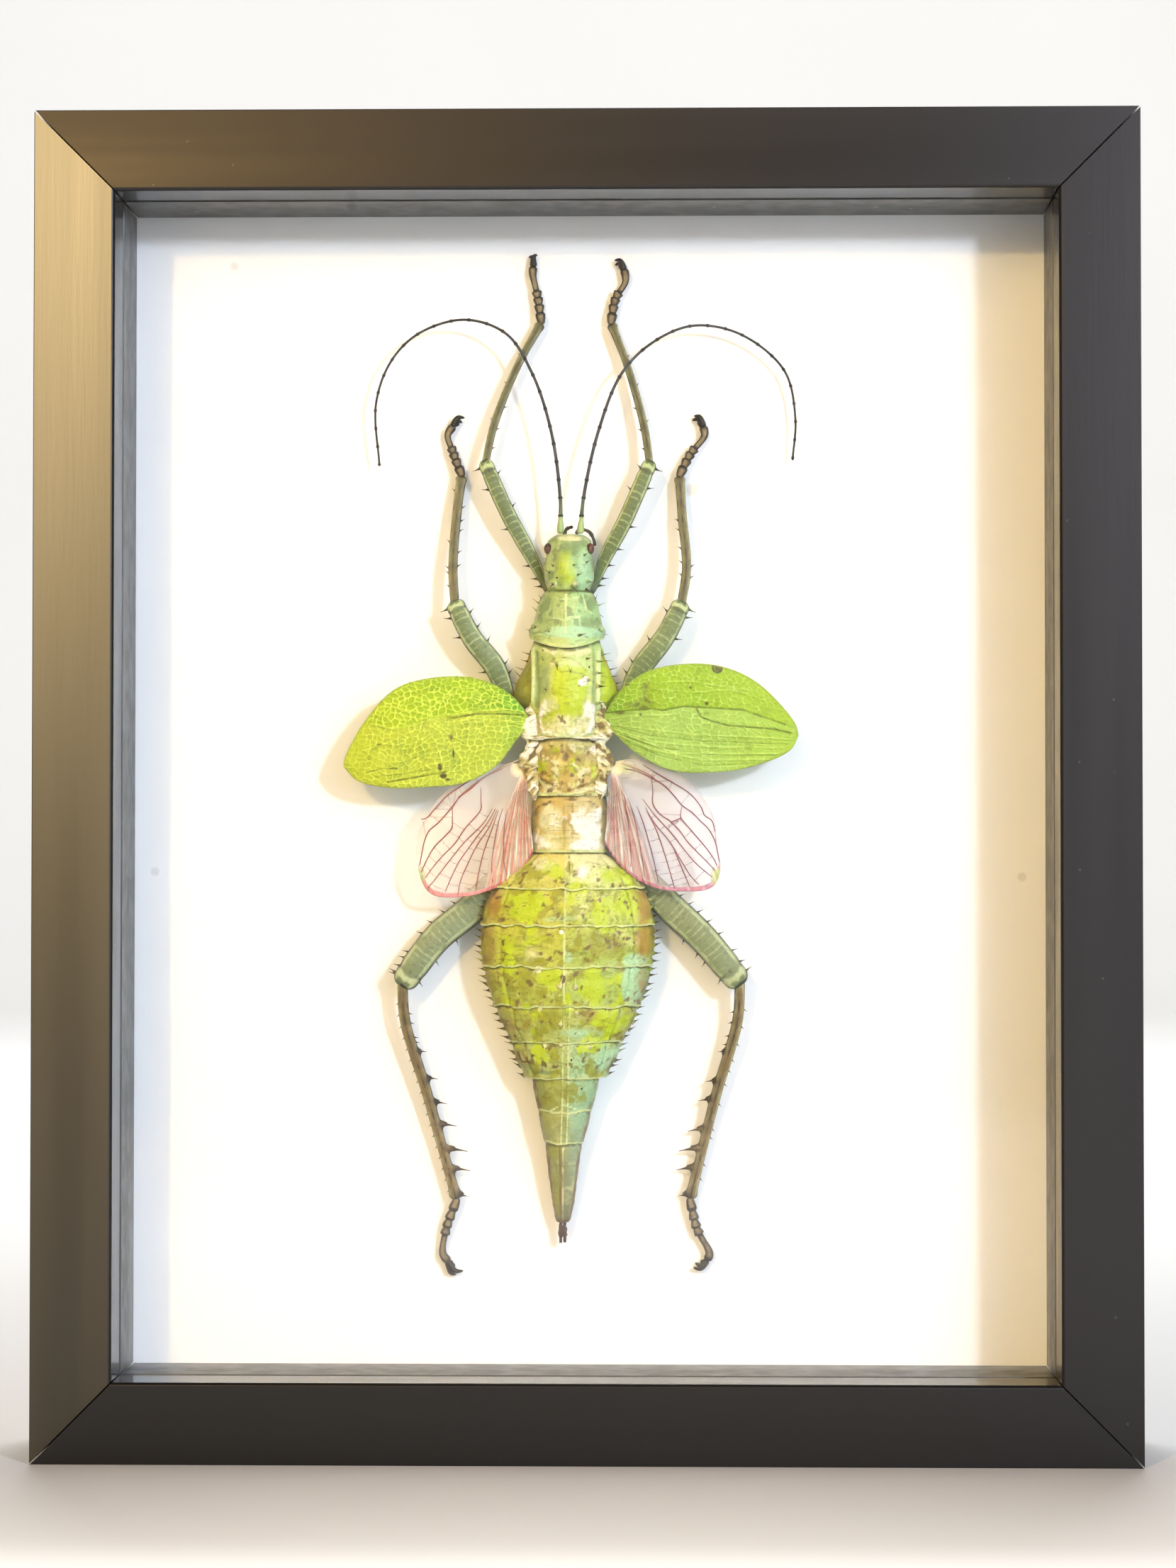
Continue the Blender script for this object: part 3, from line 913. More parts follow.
def thorn(root, grow, length, girth, hook):
    """A copy of the thorn that grows from root along grow, in millimetres, its tip drawn over by hook."""
    made = bpy.data.objects.new("thorn", THORN.copy())
    bpy.context.scene.collection.objects.link(made)
    turn = grow.to_track_quat("Z", "Y").to_matrix().to_4x4()
    bend = np.array([d.value for d in made.data.attributes["bend"].data])
    size = Matrix.Diagonal((girth / 1000, girth / 1000, length / 1000, 1))
    made.data.transform(Matrix.Translation(root) @ turn @ size)
    for vertex, amount in zip(made.data.vertices, bend):
        vertex.co += hook * amount
    made.data.attributes.remove(made.data.attributes["bend"])
    return made


def spot(x, z, height):
    return Vector(spots_at(np.float64(x), np.float64(z), np.float64(height)))


def way(x, z, height):
    """A direction from steps across, along and off the card."""
    return Vector((x, -height, z)).normalized()


def skin_point(piece, x, z):
    """Where a line straight in from the glass meets the piece."""
    return piece.ray_cast(spot(x, z, 25), way(0, 0, -1))[1]


# Thorns on the back: x, z, length, and the lean across, along and off the card.
BACK_THORNS = [
    (1.4, 44.6, 2.0, 0.5, -0.8, 0.9), (-3.1, 45.3, 1.5, -0.5, -0.7, 0.9), (2.2, 47.2, 1.3, 0.7, 0.1, 1.0),
    (4.0, 49.9, 1.1, 0.8, 0.5, 0.8), (3.6, 51.5, 1.0, 0.7, 0.5, 0.8), (1.3, 49.2, 0.9, 0.5, 0.2, 1.0),
    (-2.2, 46.6, 0.9, -0.3, 0.0, 1.0), (-3.8, 47.7, 1.2, -0.7, 0.4, 0.8), (-3.1, 49.2, 0.9, -0.5, 0.3, 1.0),
    (-4.6, 50.8, 0.9, -0.9, 0.2, 0.6), (4.3, 45.9, 1.5, 0.9, -0.2, 0.6), (3.9, 44.3, 1.6, 1.0, -0.6, 0.5),
    (-7.2, 36.1, 2.2, 1.0, -0.2, 0.5), (-4.2, 35.2, 1.5, 0.9, -0.5, 0.6), (2.6, 34.2, 1.5, 0.9, 0.2, 0.7),
    (7.0, 35.5, 2.2, -1.0, -0.1, 0.5), (-5.2, 29.0, 1.1, -0.4, 0.4, 1.0), (-2.2, 27.8, 1.4, 0.1, -0.8, 1.0),
    (0.7, 26.7, 1.2, 0.1, -0.8, 1.0), (4.1, 29.2, 1.3, 0.9, 0.2, 0.8), (-4.4, 22.4, 1.2, -0.6, 0.5, 0.9),
    (6.6, 28.7, 1.3, 1.0, 0.0, 0.5), (6.6, 26.2, 1.3, 1.0, 0.0, 0.5), (6.8, 23.3, 1.6, 1.0, 0.0, 0.5),
    (6.7, 19.8, 1.4, 1.0, 0.1, 0.5), (-5.2, 31.0, 0.9, -0.2, 0.3, 1.0), (4.6, 27.4, 0.8, 0.4, 0.4, 1.0),
    (-4.8, -53.3, 1.4, 0.0, -0.4, 1.0), (4.7, -53.5, 1.4, 0.6, 0.2, 1.0), (-6.2, -37.0, 1.5, 0.2, 0.6, 1.0),
    (-1.5, -40.3, 2.0, 0.3, 0.8, 1.0), (1.8, -40.5, 2.0, 0.0, 0.8, 1.0), (-5.7, -45.3, 1.7, 0.3, 0.7, 1.0),
    (-1.4, -48.4, 1.1, 0.2, 0.8, 1.0), (2.2, -46.0, 0.9, 0.4, 0.4, 1.0), (0.9, -56.2, 0.7, 0.2, 0.3, 1.0),
    (-1.3, -52.9, 0.8, 0.1, 0.3, 1.0), (3.0, -62.4, 0.8, 0.3, 0.2, 1.0)]
# Thorns on the sides: x, z, height, length, and the lean across and along.
SIDE_THORNS = [
    (-6.2, 41.4, 8.4, 1.6, -1, 0.5), (-6.6, 39.6, 8.2, 1.5, -1, 0.8), (-7.6, 35.2, 8.2, 1.6, -1, 0.3),
    (-5.8, 42.4, 8.4, 1.0, -0.6, 0.8), (6.3, 40.9, 8.4, 1.7, 1, 0.2), (6.6, 39.0, 8.2, 1.4, 0.8, -0.6),
    (7.2, 34.9, 8.2, 1.5, 1, -0.4), (5.8, 42.2, 8.4, 1.1, 0.5, 0.9), (-8.1, 30.5, 7.0, 1.9, -1, 0.15),
    (-8.6, 29.0, 6.7, 1.7, -1, 0.1), (-9.4, 27.2, 6.3, 2.0, -1, 0.2), (-10.1, 25.6, 6.0, 2.0, -0.9, 0.7),
    (-10.7, 24.0, 5.7, 1.6, -1, 0.3), (7.3, 30.4, 7.0, 1.8, 1, 0.1), (7.8, 29.1, 6.7, 1.7, 1, -0.1),
    (8.5, 27.2, 6.3, 2.1, 1, 0.1), (9.1, 25.8, 6.0, 1.6, 1, -0.1), (9.8, 24.2, 5.7, 1.9, 1, 0.1),
    (10.2, 22.8, 5.6, 1.4, 1, 0.0)]
PALE_CONES = (-54, -36)
THORN_ROOT, THORN_SPREAD = 0.24, 0.16
EDGE_THORNS = (-20.6, -59.6)
EDGE_THORN_PITCH = 1.62
FORWARD = way(0, 1, 0)

thorns = []
for x, z, length, lean_x, lean_z, lean_out in BACK_THORNS:
    grow = way(lean_x, lean_z, lean_out)
    pale_cone = PALE_CONES[0] < z < PALE_CONES[1]
    girth = (0.4 if pale_cone else THORN_ROOT) + THORN_SPREAD * length
    hook = way(lean_x, lean_z, -0.3) * length * 0.0003
    thorns.append(thorn(skin_point(trunk, x, z) - grow * 0.0001, grow, length, girth, hook))
    if pale_cone:
        write_marks(thorns[-1], {"tip": 0.0, "cream": 1.5})
for x, z, height, length, lean_x, lean_z in SIDE_THORNS:
    grow = way(lean_x, lean_z, 0.15)
    girth = THORN_ROOT + THORN_SPREAD * length
    thorns.append(thorn(spot(x, z, height) - grow * 0.0004, grow, length + 0.4, girth, FORWARD * 0.0003))
rng = random.Random(7)
margin = stations[(stations[:, 6] > 5) & (stations[:, 6] < 11.5)]
edge_z = EDGE_THORNS[0]
while edge_z > EDGE_THORNS[1]:
    nearest = margin[np.argmin(np.abs(margin[:, 0] - edge_z))]
    for side in SIDES.values():
        z = edge_z + rng.uniform(-0.25, 0.25)
        reach = nearest[1] + 0.45 * math.sin(math.pi * nearest[5]) + 0.2
        x = np.interp(z, MIDDLE_PLACES, MIDDLES) + side * (reach + 0.25)
        length = rng.uniform(1.3, 1.9)
        grow = way(side, rng.uniform(-0.1, 0.35), 0.1)
        root = spot(x, z, nearest[3]) - grow * 0.0003
        thorns.append(thorn(root, grow, length, rng.uniform(0.5, 0.62), FORWARD * 0.00022))
    edge_z -= EDGE_THORN_PITCH


def lump(x, z, height, across, along, deep, marks, seed):
    """A small crumpled lump of dried skin."""
    bpy.ops.mesh.primitive_ico_sphere_add(subdivisions=4, radius=1, location=(0, 0, 0))
    made = bpy.context.object
    shape = np.array([tuple(v.co) for v in made.data.vertices])
    dents = rough_noise(shape * np.array([across * 0.35, deep, along * 1.5]) + seed, 0.75, 4)
    grown = shape * (1 + 0.5 * dents)[:, None]
    points = spots_at(x + grown[:, 0] * across, z + grown[:, 2] * along, height - grown[:, 1] * deep)
    made.data.vertices.foreach_set("co", points.ravel())
    write_marks(made, {label: np.clip(value + 1.1 * dents, 0, 2) for label, value in marks.items()})
    write_marks(made, {"brown": np.clip(-2.6 * dents - 0.25, 0, 0.9)})
    bpy.ops.object.shade_smooth()
    return made


# The torn skin at a hinge, from front to rear: z, and how far out it reaches.
HINGE_PLACES = [-20.6, -19.0, -17.0, -15.0, -13.6, -12.6, -11.5, -10.2, -8.6, -7.0, -5.4, -3.4, -1.2, 0.6]
HINGE_REACHES = [7.3, 8.2, 8.9, 9.7, 10.7, 9.5, 8.4, 8.7, 9.9, 10.1, 9.3, 8.8, 8.3, 7.9]
HINGE_INNER = 6.0
HINGE_GRID = (60, 150)
# Lumps on the mesothorax's rear rim: x, z, height, and sizes across, along and deep.
RIM_LUMPS = ((6.4, 12.4, 13.0, 1.7, 0.5, 0.4), (3.6, 12.5, 14.1, 2.6, 0.35, 0.25))


def hinge_place(sign):
    """One closed strip of crumpled skin between the metathorax and the wings of a side."""
    def place(turn, run):
        z = 20.6 - 21.2 * run
        angle = 2 * math.pi * turn - math.pi / 2
        close = np.sqrt(np.clip(1 - np.abs(2 * run - 1) ** 12, 0, 1))
        reach = flowing(-z, HINGE_PLACES, HINGE_REACHES)
        across = (reach + HINGE_INNER) / 2 + (reach - HINGE_INNER) / 2 * np.cos(angle) * close
        spots_mm = np.stack([0.4 * across + 9 * sign, 1.1 * z + 0.5 * across, np.sin(angle)], -1)
        folds = rough_noise(spots_mm + 2.0, 0.6, 4)
        creases = rough_noise(spots_mm * 1.7 + 40.0, 0.6, 3)
        across = across + 0.5 * folds * np.cos(angle) * close
        height = 11.3 + (0.85 + 0.8 * folds + 0.25 * creases) * np.sin(angle) * close
        marks = {"white": np.clip(0.12 + 1.5 * folds, 0, 1.2), "cream": 0.45,
                 "tan": np.clip(0.15 + 2.4 * creases, 0, 1.2),
                 "brown": np.clip(-3.0 * folds - 0.2, 0, 1.1) + np.clip(2.6 * creases - 0.6, 0, 0.8)}
        return spots_at(sign * across - 0.25, z + 0.6 * creases, height), marks
    return place


torn_skin = [wrapped("hinge_skin", *HINGE_GRID, hinge_place(sign)) for sign in SIDES.values()]
torn_skin += [lump(sign * x - 0.25, z, height, *sizes, {"white": 0.3, "cream": 0.4}, 7.3 * x + sign)
              for sign in SIDES.values() for x, z, height, *sizes in RIM_LUMPS]
beak_tips = [lump(-1.2 + sign * 0.42, -93.3, 4.2, 0.5, 2.5, 0.5, {"brown": 1.5, "tip": 1.4}, 3.0 + sign)
             for sign in SIDES.values()]
trunk = joined([trunk, *thorns, *torn_skin, *beak_tips], "trunk")
settle(trunk, trunk_shell(), "body_green", "head", "prothorax", "mesothorax", "metathorax", "ovipositor",
       *[f"abdomen_{n}" for n in range(1, 10)])


# ---- Legs ----
# Six walking legs: a four-edged thigh with thorns on its edges, a slim shin and
# a foot of five cups and two claws. Each joint's end sits in the one before it.

def route(points, count):
    """Even places on a smooth line, with its directions along, to the right and off the card there."""
    points = [np.array(p, float) for p in points]
    padded = [2 * points[0] - points[1], *points, 2 * points[-1] - points[-2]]
    dense = []
    for a, b, c, d in zip(padded, padded[1:], padded[2:], padded[3:]):
        t0, t1, t2, t3 = np.cumsum([0, *[np.linalg.norm(q - p) ** 0.5 for p, q in ((a, b), (b, c), (c, d))]])
        for t in np.linspace(t1, t2, 24, endpoint=False):
            ab = (a * (t1 - t) + b * (t - t0)) / (t1 - t0)
            bc = (b * (t2 - t) + c * (t - t1)) / (t2 - t1)
            cd = (c * (t3 - t) + d * (t - t2)) / (t3 - t2)
            abc = (ab * (t2 - t) + bc * (t - t0)) / (t2 - t0)
            bcd = (bc * (t3 - t) + cd * (t - t1)) / (t3 - t1)
            dense.append((abc * (t2 - t) + bcd * (t - t1)) / (t2 - t1))
    dense = np.array([*dense, points[-1]])
    travelled = np.concatenate([[0], np.cumsum(np.linalg.norm(np.diff(dense, axis=0), axis=1))])
    even = np.linspace(0, travelled[-1], count)
    centre = np.stack([np.interp(even, travelled, dense[:, k]) for k in range(3)], -1)
    along = np.gradient(centre, axis=0)
    along /= np.linalg.norm(along, axis=1)[:, None]
    aside = np.cross(along, [0, 0, 1])
    aside /= np.linalg.norm(aside, axis=1)[:, None]
    return centre, along, aside, np.cross(aside, along), travelled[-1]


def limb(name, points, grid, girth, skin, flat=0.85, square=3.0, cap=0.9):
    """A tube on a smooth line: girth(run) is its half width, skin(run, angle, mm) its relief and marks."""
    steps, around = grid
    centre, along, aside, over, length = route(points, steps + 1)

    def place(turn, run):
        row = np.rint(run * steps).astype(int)
        angle = 2 * math.pi * turn - math.pi / 2
        cos, sin = np.cos(angle), np.sin(angle)
        corner = (np.abs(cos) ** square + np.abs(sin) ** square) ** (-1 / square)
        half = girth(run)
        relief, marks = skin(run, angle, run * length)
        inset = np.clip(1 - np.minimum(run, 1 - run) * length / (cap * half), 0, 1)
        reach = (half * corner + relief) * np.sqrt(np.clip(1 - inset**2, 0, 1))
        points_mm = (centre[row] + aside[row] * (reach * cos)[:, None]
                     + over[row] * (reach * sin * flat)[:, None])
        return spots_at(*points_mm.T), marks
    return wrapped(name, around, steps, place)


RIGHT, TOP, LEFT = 0.0, math.pi / 2, math.pi
CORNERS = [math.radians(a) for a in (45, 135, 225, 315)]


def ridge(angle, at, width):
    """How near an angle is to one of the edges of a limb."""
    return peak(np.abs((angle - at + math.pi) % (2 * math.pi) - math.pi), width)


def steps_between(values):
    """A girth or height that runs through evenly spaced values."""
    return lambda run: np.interp(run, np.linspace(0, 1, len(values)), values)


THORN_PLACES = 400


def side_thorns(points, girth, table):
    """Thorns on a limb's two sides: (side, share along, length, lean forward)."""
    centre, along, aside, over, length = route(points, THORN_PLACES)
    grown = []
    for side, share, size, lean in table:
        k = int(share * (THORN_PLACES - 1))
        out = aside[k] * side + along[k] * lean + over[k] * 0.18
        out /= np.linalg.norm(out)
        root = centre[k] + aside[k] * side * (girth(np.array(share)) * 0.82)
        hook = along[k] * 0.14 * size
        hook = Vector((hook[0], -hook[2], hook[1])) / 1000
        grown.append(thorn(spot(*root), way(*out), size + 0.2, 0.28 + 0.24 * size, hook))
    return grown


def shell_limb(name, low, high, dark, pale, strength):
    """Leg skin: mottled, with pale ridges, bars and knees, dark edges and dark thorn tips."""
    material, tree, shader, spots = new_finish(name, specular_ior_level=0.42)
    fine = shell(tree, spots, 420.0)
    coarse = shell(tree, spots, 150.0)
    colour = mixed(tree, coarse["Mottle"], low, high)
    colour = mixed(tree, times(tree, fine["Blotches"], 0.4), colour, dark)
    ragged = ranged(tree, fine["Mottle"], 0.25, 0.75, 0.35, 1.65)
    paints = [("bar", pale, 0.5 * strength), ("pale", pale, strength), ("edge", dark, 0.95),
              ("tip", (34, 22, 18), 1.0)]
    colour = painted(tree, colour, ragged, 0.75, paints)
    finish(tree, shader, colour, ranged(tree, fine["Mottle"], 0.3, 0.7, 0.38, 0.54), fine["Pores"],
           0.4, 0.00012)
    return material


# Leg skins: two ground colours, the dark of the edges, the pale of the ridges, and how strong the pale is.
THIGH_TONES = {
    "fore": ((70, 86, 52), (100, 116, 76), (32, 38, 26), (170, 184, 136), 0.95),
    "mid": ((80, 98, 64), (114, 130, 92), (38, 44, 30), (174, 188, 146), 0.9),
    "hind": ((92, 108, 80), (126, 138, 104), (48, 52, 38), (184, 196, 158), 0.7),
}
SHIN_TONES = {
    "fore": ((68, 70, 46), (94, 94, 64), (30, 24, 22), (146, 150, 110), 0.8),
    "mid": ((76, 74, 52), (104, 100, 70), (32, 28, 24), (146, 146, 108), 0.8),
    "hind": ((92, 78, 52), (120, 104, 72), (36, 32, 26), (150, 150, 114), 0.85),
}
THIGH_SHELLS = {pair: shell_limb("thigh_shell_" + pair, *tones) for pair, tones in THIGH_TONES.items()}
SHIN_SHELLS = {pair: shell_limb("shin_shell_" + pair, *tones) for pair, tones in SHIN_TONES.items()}
FOOT_SHELL = shell_limb("foot_shell", (44, 37, 28), (70, 58, 42), (14, 12, 12), (146, 132, 102), 0.5)

# Each leg: which side of it is the outer one, and its thigh, shin, foot and claw tips, as x, z and height.
LEGS = {
    "fore_left": (
        -1,
        [(-3.9, 43.8, 4.6), (-4.9, 45.6, 4.2), (-8.3, 52.2, 4.8), (-13.3, 61.4, 6.0), (-17.9, 71.8, 6.5)],
        [(-16.1, 80.2, 5.2), (-11.3, 92.7, 3.8), (-6.0, 102.7, 2.5)],
        [(-6.8, 108.3, 2.0), (-7.9, 113.6, 1.8), (-7.7, 115.2, 1.6)],
        [(-6.9, 117.6, 1.6), (-8.8, 117.2, 1.0)]),
    "fore_right": (
        1, [(4.4, 43.8, 4.6), (5.4, 45.6, 4.2), (8.0, 51.7, 4.8), (11.9, 58.9, 6.0), (17.5, 71.6, 6.5)],
        [(16.2, 80.1, 5.2), (12.8, 92.6, 3.8), (9.1, 102.6, 2.5)],
        [(10.1, 108.0, 2.0), (12.2, 111.7, 1.8), (11.9, 114.6, 1.6)],
        [(9.8, 116.4, 1.6), (9.9, 115.4, 1.0)]),
    "mid_left": (
        -1,
        [
            (-11.2, 18.9, 5.2), (-13.1, 21.8, 5.0), (-16.0, 28.1, 6.0), (-20.7, 34.1, 7.0),
            (-24.4, 41.4, 7.5)],
        [(-24.9, 49.5, 6.0), (-24.1, 61.9, 4.0), (-23.2, 69.6, 2.7)],
        [(-25.2, 74.8, 2.0), (-26.3, 78.4, 1.8), (-25.0, 80.6, 1.6)],
        [(-22.6, 82.2, 1.6), (-23.2, 81.2, 1.0)]),
    "mid_right": (
        1, [(10.4, 18.6, 5.2), (12.3, 21.6, 5.0), (15.7, 27.7, 6.0), (20.8, 34.4, 7.0), (24.3, 41.3, 7.5)],
        [(25.4, 49.4, 6.0), (24.5, 60.3, 4.0), (23.9, 69.4, 2.7)],
        [(26.3, 74.2, 2.0), (29.3, 78.2, 1.8), (29.0, 80.4, 1.6)], [(27.0, 82.5, 1.6), (26.6, 81.6, 1.0)]),
    "hind_left": (
        1,
        [
            (-7.4, -8.2, 4.4), (-9.6, -11.0, 4.0), (-20.5, -23.8, 4.3), (-28.3, -30.5, 5.6),
            (-35.6, -40.2, 6.8)],
        [(-35.1, -48.2, 5.5), (-30.3, -64.3, 4.0), (-24.1, -86.8, 2.6)],
        [(-26.4, -93.2, 2.0), (-27.1, -98.5, 1.8), (-25.8, -100.3, 1.6)],
        [(-22.7, -102.2, 1.6), (-24.3, -103.1, 1.0)]),
    "hind_right": (
        -1,
        [(7.7, -7.8, 4.4), (9.9, -10.6, 4.0), (20.7, -22.6, 4.3), (28.7, -30.2, 5.6), (36.8, -39.9, 6.8)],
        [(36.3, -48.1, 5.5), (31.7, -64.2, 4.0), (26.1, -86.6, 2.6)],
        [(27.7, -93.1, 2.0), (30.3, -98.3, 1.8), (29.7, -99.9, 1.6)],
        [(26.8, -101.4, 1.6), (27.2, -100.4, 1.0)]),
}
THIGH_WIDTHS = {
    "fore": [0.9, 1.0, 1.35, 1.6, 1.65, 1.65, 1.65, 1.65, 1.3],
    "mid": [1.2, 1.5, 2.1, 2.3, 2.3, 2.25, 2.15, 2.1, 1.7],
    "hind": [1.3, 1.7, 2.5, 3.1, 3.25, 3.2, 3.1, 3.0, 2.4],
}
SHIN_WIDTHS = {
    "fore": [0.8, 0.85, 0.85, 0.82, 0.82, 0.95],
    "mid": [0.95, 1.0, 1.0, 1.0, 1.0, 1.1],
    "hind": [1.1, 1.15, 1.15, 1.12, 1.05, 1.15],
}
# Rows of thorns: side, length, lean forward and the shares along the joint.
THIGH_THORNS = {
    "fore_left": [(-1, 1.5, 0.3, (0.80, 0.514, 0.232, 0.132, 0.073)), (1, 1.2, 0.3, (0.877, 0.636))],
    "fore_right": [(1, 1.5, 0.3, (0.81, 0.53, 0.36, 0.23, 0.13, 0.08)), (-1, 1.2, 0.3, (0.92, 0.76))],
    "mid_left": [(-1, 1.7, 0.3, (0.873, 0.712, 0.374)), (1, 1.5, 0.3, (0.851, 0.717, 0.566, 0.357, 0.284))],
    "mid_right": [(-1, 1.5, 0.3, (0.866, 0.587, 0.379, 0.29)), (1, 1.7, 0.3, (0.883, 0.708))],
    "hind_left": [
        (1, 1.6, 0.25, (0.3, 0.41, 0.521, 0.592, 0.665, 0.727, 0.835, 0.868, 0.913, 0.958)),
        (-1, 1.5, 0.25, (0.63, 0.791, 0.923))],
    "hind_right": [
        (-1, 1.6, 0.25, (0.3, 0.4, 0.475, 0.537, 0.596, 0.658, 0.732, 0.834, 0.899)),
        (1, 1.5, 0.25, (0.637, 0.737, 0.793, 0.909))],
}
SHIN_THORNS = {
    "fore_left": [(1, 0.7, 0.4, (0.12, 0.25, 0.4)), (-1, 0.5, 0.4, (0.3, 0.55, 0.75))],
    "fore_right": [(-1, 0.7, 0.4, (0.12, 0.25, 0.4)), (1, 0.5, 0.4, (0.3, 0.55, 0.75))],
    "mid_left": [
        (1, 0.9, 0.4, (0.754, 0.65, 0.576, 0.411, 0.304)),
        (-1, 0.7, 0.4, (0.876, 0.487, 0.293, 0.254, 0.154))],
    "mid_right": [(-1, 0.8, 0.4, (0.663, 0.59, 0.447, 0.336, 0.237)), (1, 0.8, 0.4, (0.308, 0.224))],
    "hind_left": [(1, 0.6, 0.4, np.arange(0.1, 0.96, 0.05))],
    "hind_right": [
        (-1, 0.7, 0.4, (0.128, 0.205, 0.283, 0.354, 0.406, 0.468, 0.559, 0.675, 0.714, 0.835, 0.902))],
}
# The long thorns on the inner side of the hind shins: share along and length.
LONG_THORNS = {
    "hind_left": [
        (0.146, 0.8), (0.191, 0.8), (0.26, 0.9), (0.281, 0.8), (0.325, 1.7), (0.45, 2.2), (0.559, 2.5),
        (0.661, 3.3), (0.774, 4.2), (0.864, 3.6), (0.985, 1.6)],
    "hind_right": [
        (0.144, 0.8), (0.194, 0.9), (0.258, 0.9), (0.296, 0.8), (0.33, 1.3), (0.465, 1.9), (0.549, 2.4),
        (0.685, 3.0), (0.773, 3.9), (0.861, 3.5), (0.985, 1.6)],
}
LIMB_GRIDS = {"thigh": (170, 44), "shin": (190, 36), "foot": (150, 28), "claw": (30, 12), "feeler": (900, 12),
              "palp": (60, 16), "vein": (70, 8)}


def thorn_rows(rows):
    return [(side, share, size, lean) for side, size, lean, shares in rows for share in shares]


def thigh_skin(run, angle, mm):
    """Raised edges, a faint middle ridge, cross bars like rungs, and the two lobes of the knee."""
    aside = np.abs(np.cos(angle))
    wobble = np.sin(mm * 1.9) * 0.5 + np.sin(mm * 0.83 + 2) * 0.7
    corners = sum(ridge(angle, at, 0.16) for at in CORNERS)
    mid = ridge(angle, TOP, 0.1) + 0.6 * ridge(angle, RIGHT, 0.1) + 0.6 * ridge(angle, LEFT, 0.1)
    rungs = np.clip(np.cos(2 * math.pi * mm / 1.35 + 0.6 * wobble + 1.6 * aside), 0, 1) ** 2
    rungs = rungs * eased(run, 0.12, 0.25) * (1 - eased(run, 0.86, 0.92)) * ridge(aside, 0.3, 0.38)
    rungs = rungs * (0.35 + 0.65 * np.sin(mm * 0.55 + 1) ** 2)
    bumps = 0.5 + 0.5 * np.cos(2 * math.pi * mm / 1.1)
    relief = 0.16 * corners * (0.7 + 0.3 * bumps) + 0.05 * mid + 0.03 * rungs * (1 - corners.clip(0, 1))
    relief = relief + 0.14 * peak(run - 0.945, 0.028) * aside - 0.06 * peak(run - 0.9, 0.012)
    crescent = peak(run - 0.955 + 0.02 * aside, 0.014)
    pale = 0.75 * corners * eased(run, 0.05, 0.2) + 0.9 * crescent + 0.4 * mid * 0.5
    dark = 0.35 * peak(run - 0.915, 0.012) + 0.9 * eased(run, 0.975, 1.0) + 0.5 * (1 - eased(run, 0.0, 0.05))
    dark = dark + 0.9 * (ridge(angle, RIGHT, 0.6) + ridge(angle, LEFT, 0.6))
    dark = dark + 0.25 * ridge(angle, TOP, 0.1) * eased(run, 0.15, 0.3)
    return relief, {"pale": pale, "bar": 1.1 * rungs, "edge": dark}


def shin_skin(inner, big):
    """Raised edges, a groove, and the dark inner edge drawn out into webs at the big thorns."""
    inner_edge, outer_edge = (RIGHT, LEFT) if inner > 0 else (LEFT, RIGHT)

    def skin(run, angle, mm):
        corners = sum(ridge(angle, at, 0.2) for at in CORNERS)
        inward = ridge(angle, inner_edge, 0.85)
        webs = sum((0.4 * size * peak(run - share, 0.014) for share, size in big), np.zeros(len(run)))
        relief = 0.1 * corners + webs * ridge(angle, inner_edge, 0.3)
        relief = relief + 0.2 * peak(run - 0.975, 0.02) * np.abs(np.cos(angle))
        dark = 1.2 * inward + 0.8 * ridge(angle, outer_edge, 0.6) + webs * 1.1 * inward
        dark = dark + 0.5 * eased(run, 0.96, 1.0)
        dark = dark + 0.75 * ridge(angle, TOP, 0.16) * eased(run, 0.04, 0.12)
        dark = dark * (0.6 + 0.4 * np.sin(mm * 0.9) ** 2)
        streak = ridge(np.abs(angle - TOP), 0.5, 0.25) * (0.6 + 0.4 * np.sin(mm * 1.3))
        pale = 0.7 * corners + 0.5 * (1 - eased(run, 0.0, 0.06))
        return relief, {"pale": pale, "bar": 0.5 * streak, "edge": dark}
    return skin


CUP_STARTS = np.array([0.0, 0.2, 0.34, 0.46, 0.57, 1.0])
LAST_CUP = 4


def cups_at(run):
    """Which cup of the foot each share along it is in, and how far along that cup."""
    cup = np.clip(np.searchsorted(CUP_STARTS, run, side="right") - 1, 0, LAST_CUP)
    return cup, (run - CUP_STARTS[cup]) / (CUP_STARTS[cup + 1] - CUP_STARTS[cup])


def foot_girth(run):
    """Four cups, each wider at its far rim, and a long last joint that swells at its end."""
    cup, share = cups_at(run)
    cups = 0.78 + 0.3 * eased(share, 0.0, 0.8) - 0.2 * eased(share, 0.9, 1.0)
    return np.where(cup == LAST_CUP, 0.66 + 0.28 * eased(share, 0.3, 0.92), cups)


def foot_skin(run, angle, mm):
    cup, share = cups_at(run)
    rim = 1.3 * eased(share, 0.66, 0.9) * (cup < LAST_CUP) + (1 - eased(share, 0, 0.12))
    sides = ridge(angle, RIGHT, 0.5) + ridge(angle, LEFT, 0.5)
    dark = rim + 0.7 * eased(run, 0.86, 1.0) + 0.8 * sides
    return -0.06 * ridge(angle, TOP, 0.16), {"edge": dark, "pale": 0.8 * ridge(angle, 1.6, 0.6)}


def with_ends(near, points):
    """A limb's points, begun a little before its joint so that it sits inside the last one."""
    near, first = np.array(near), np.array(points[0])
    back = near - (first - near) / np.linalg.norm(first - near) * 0.5
    return [tuple(back), *points]


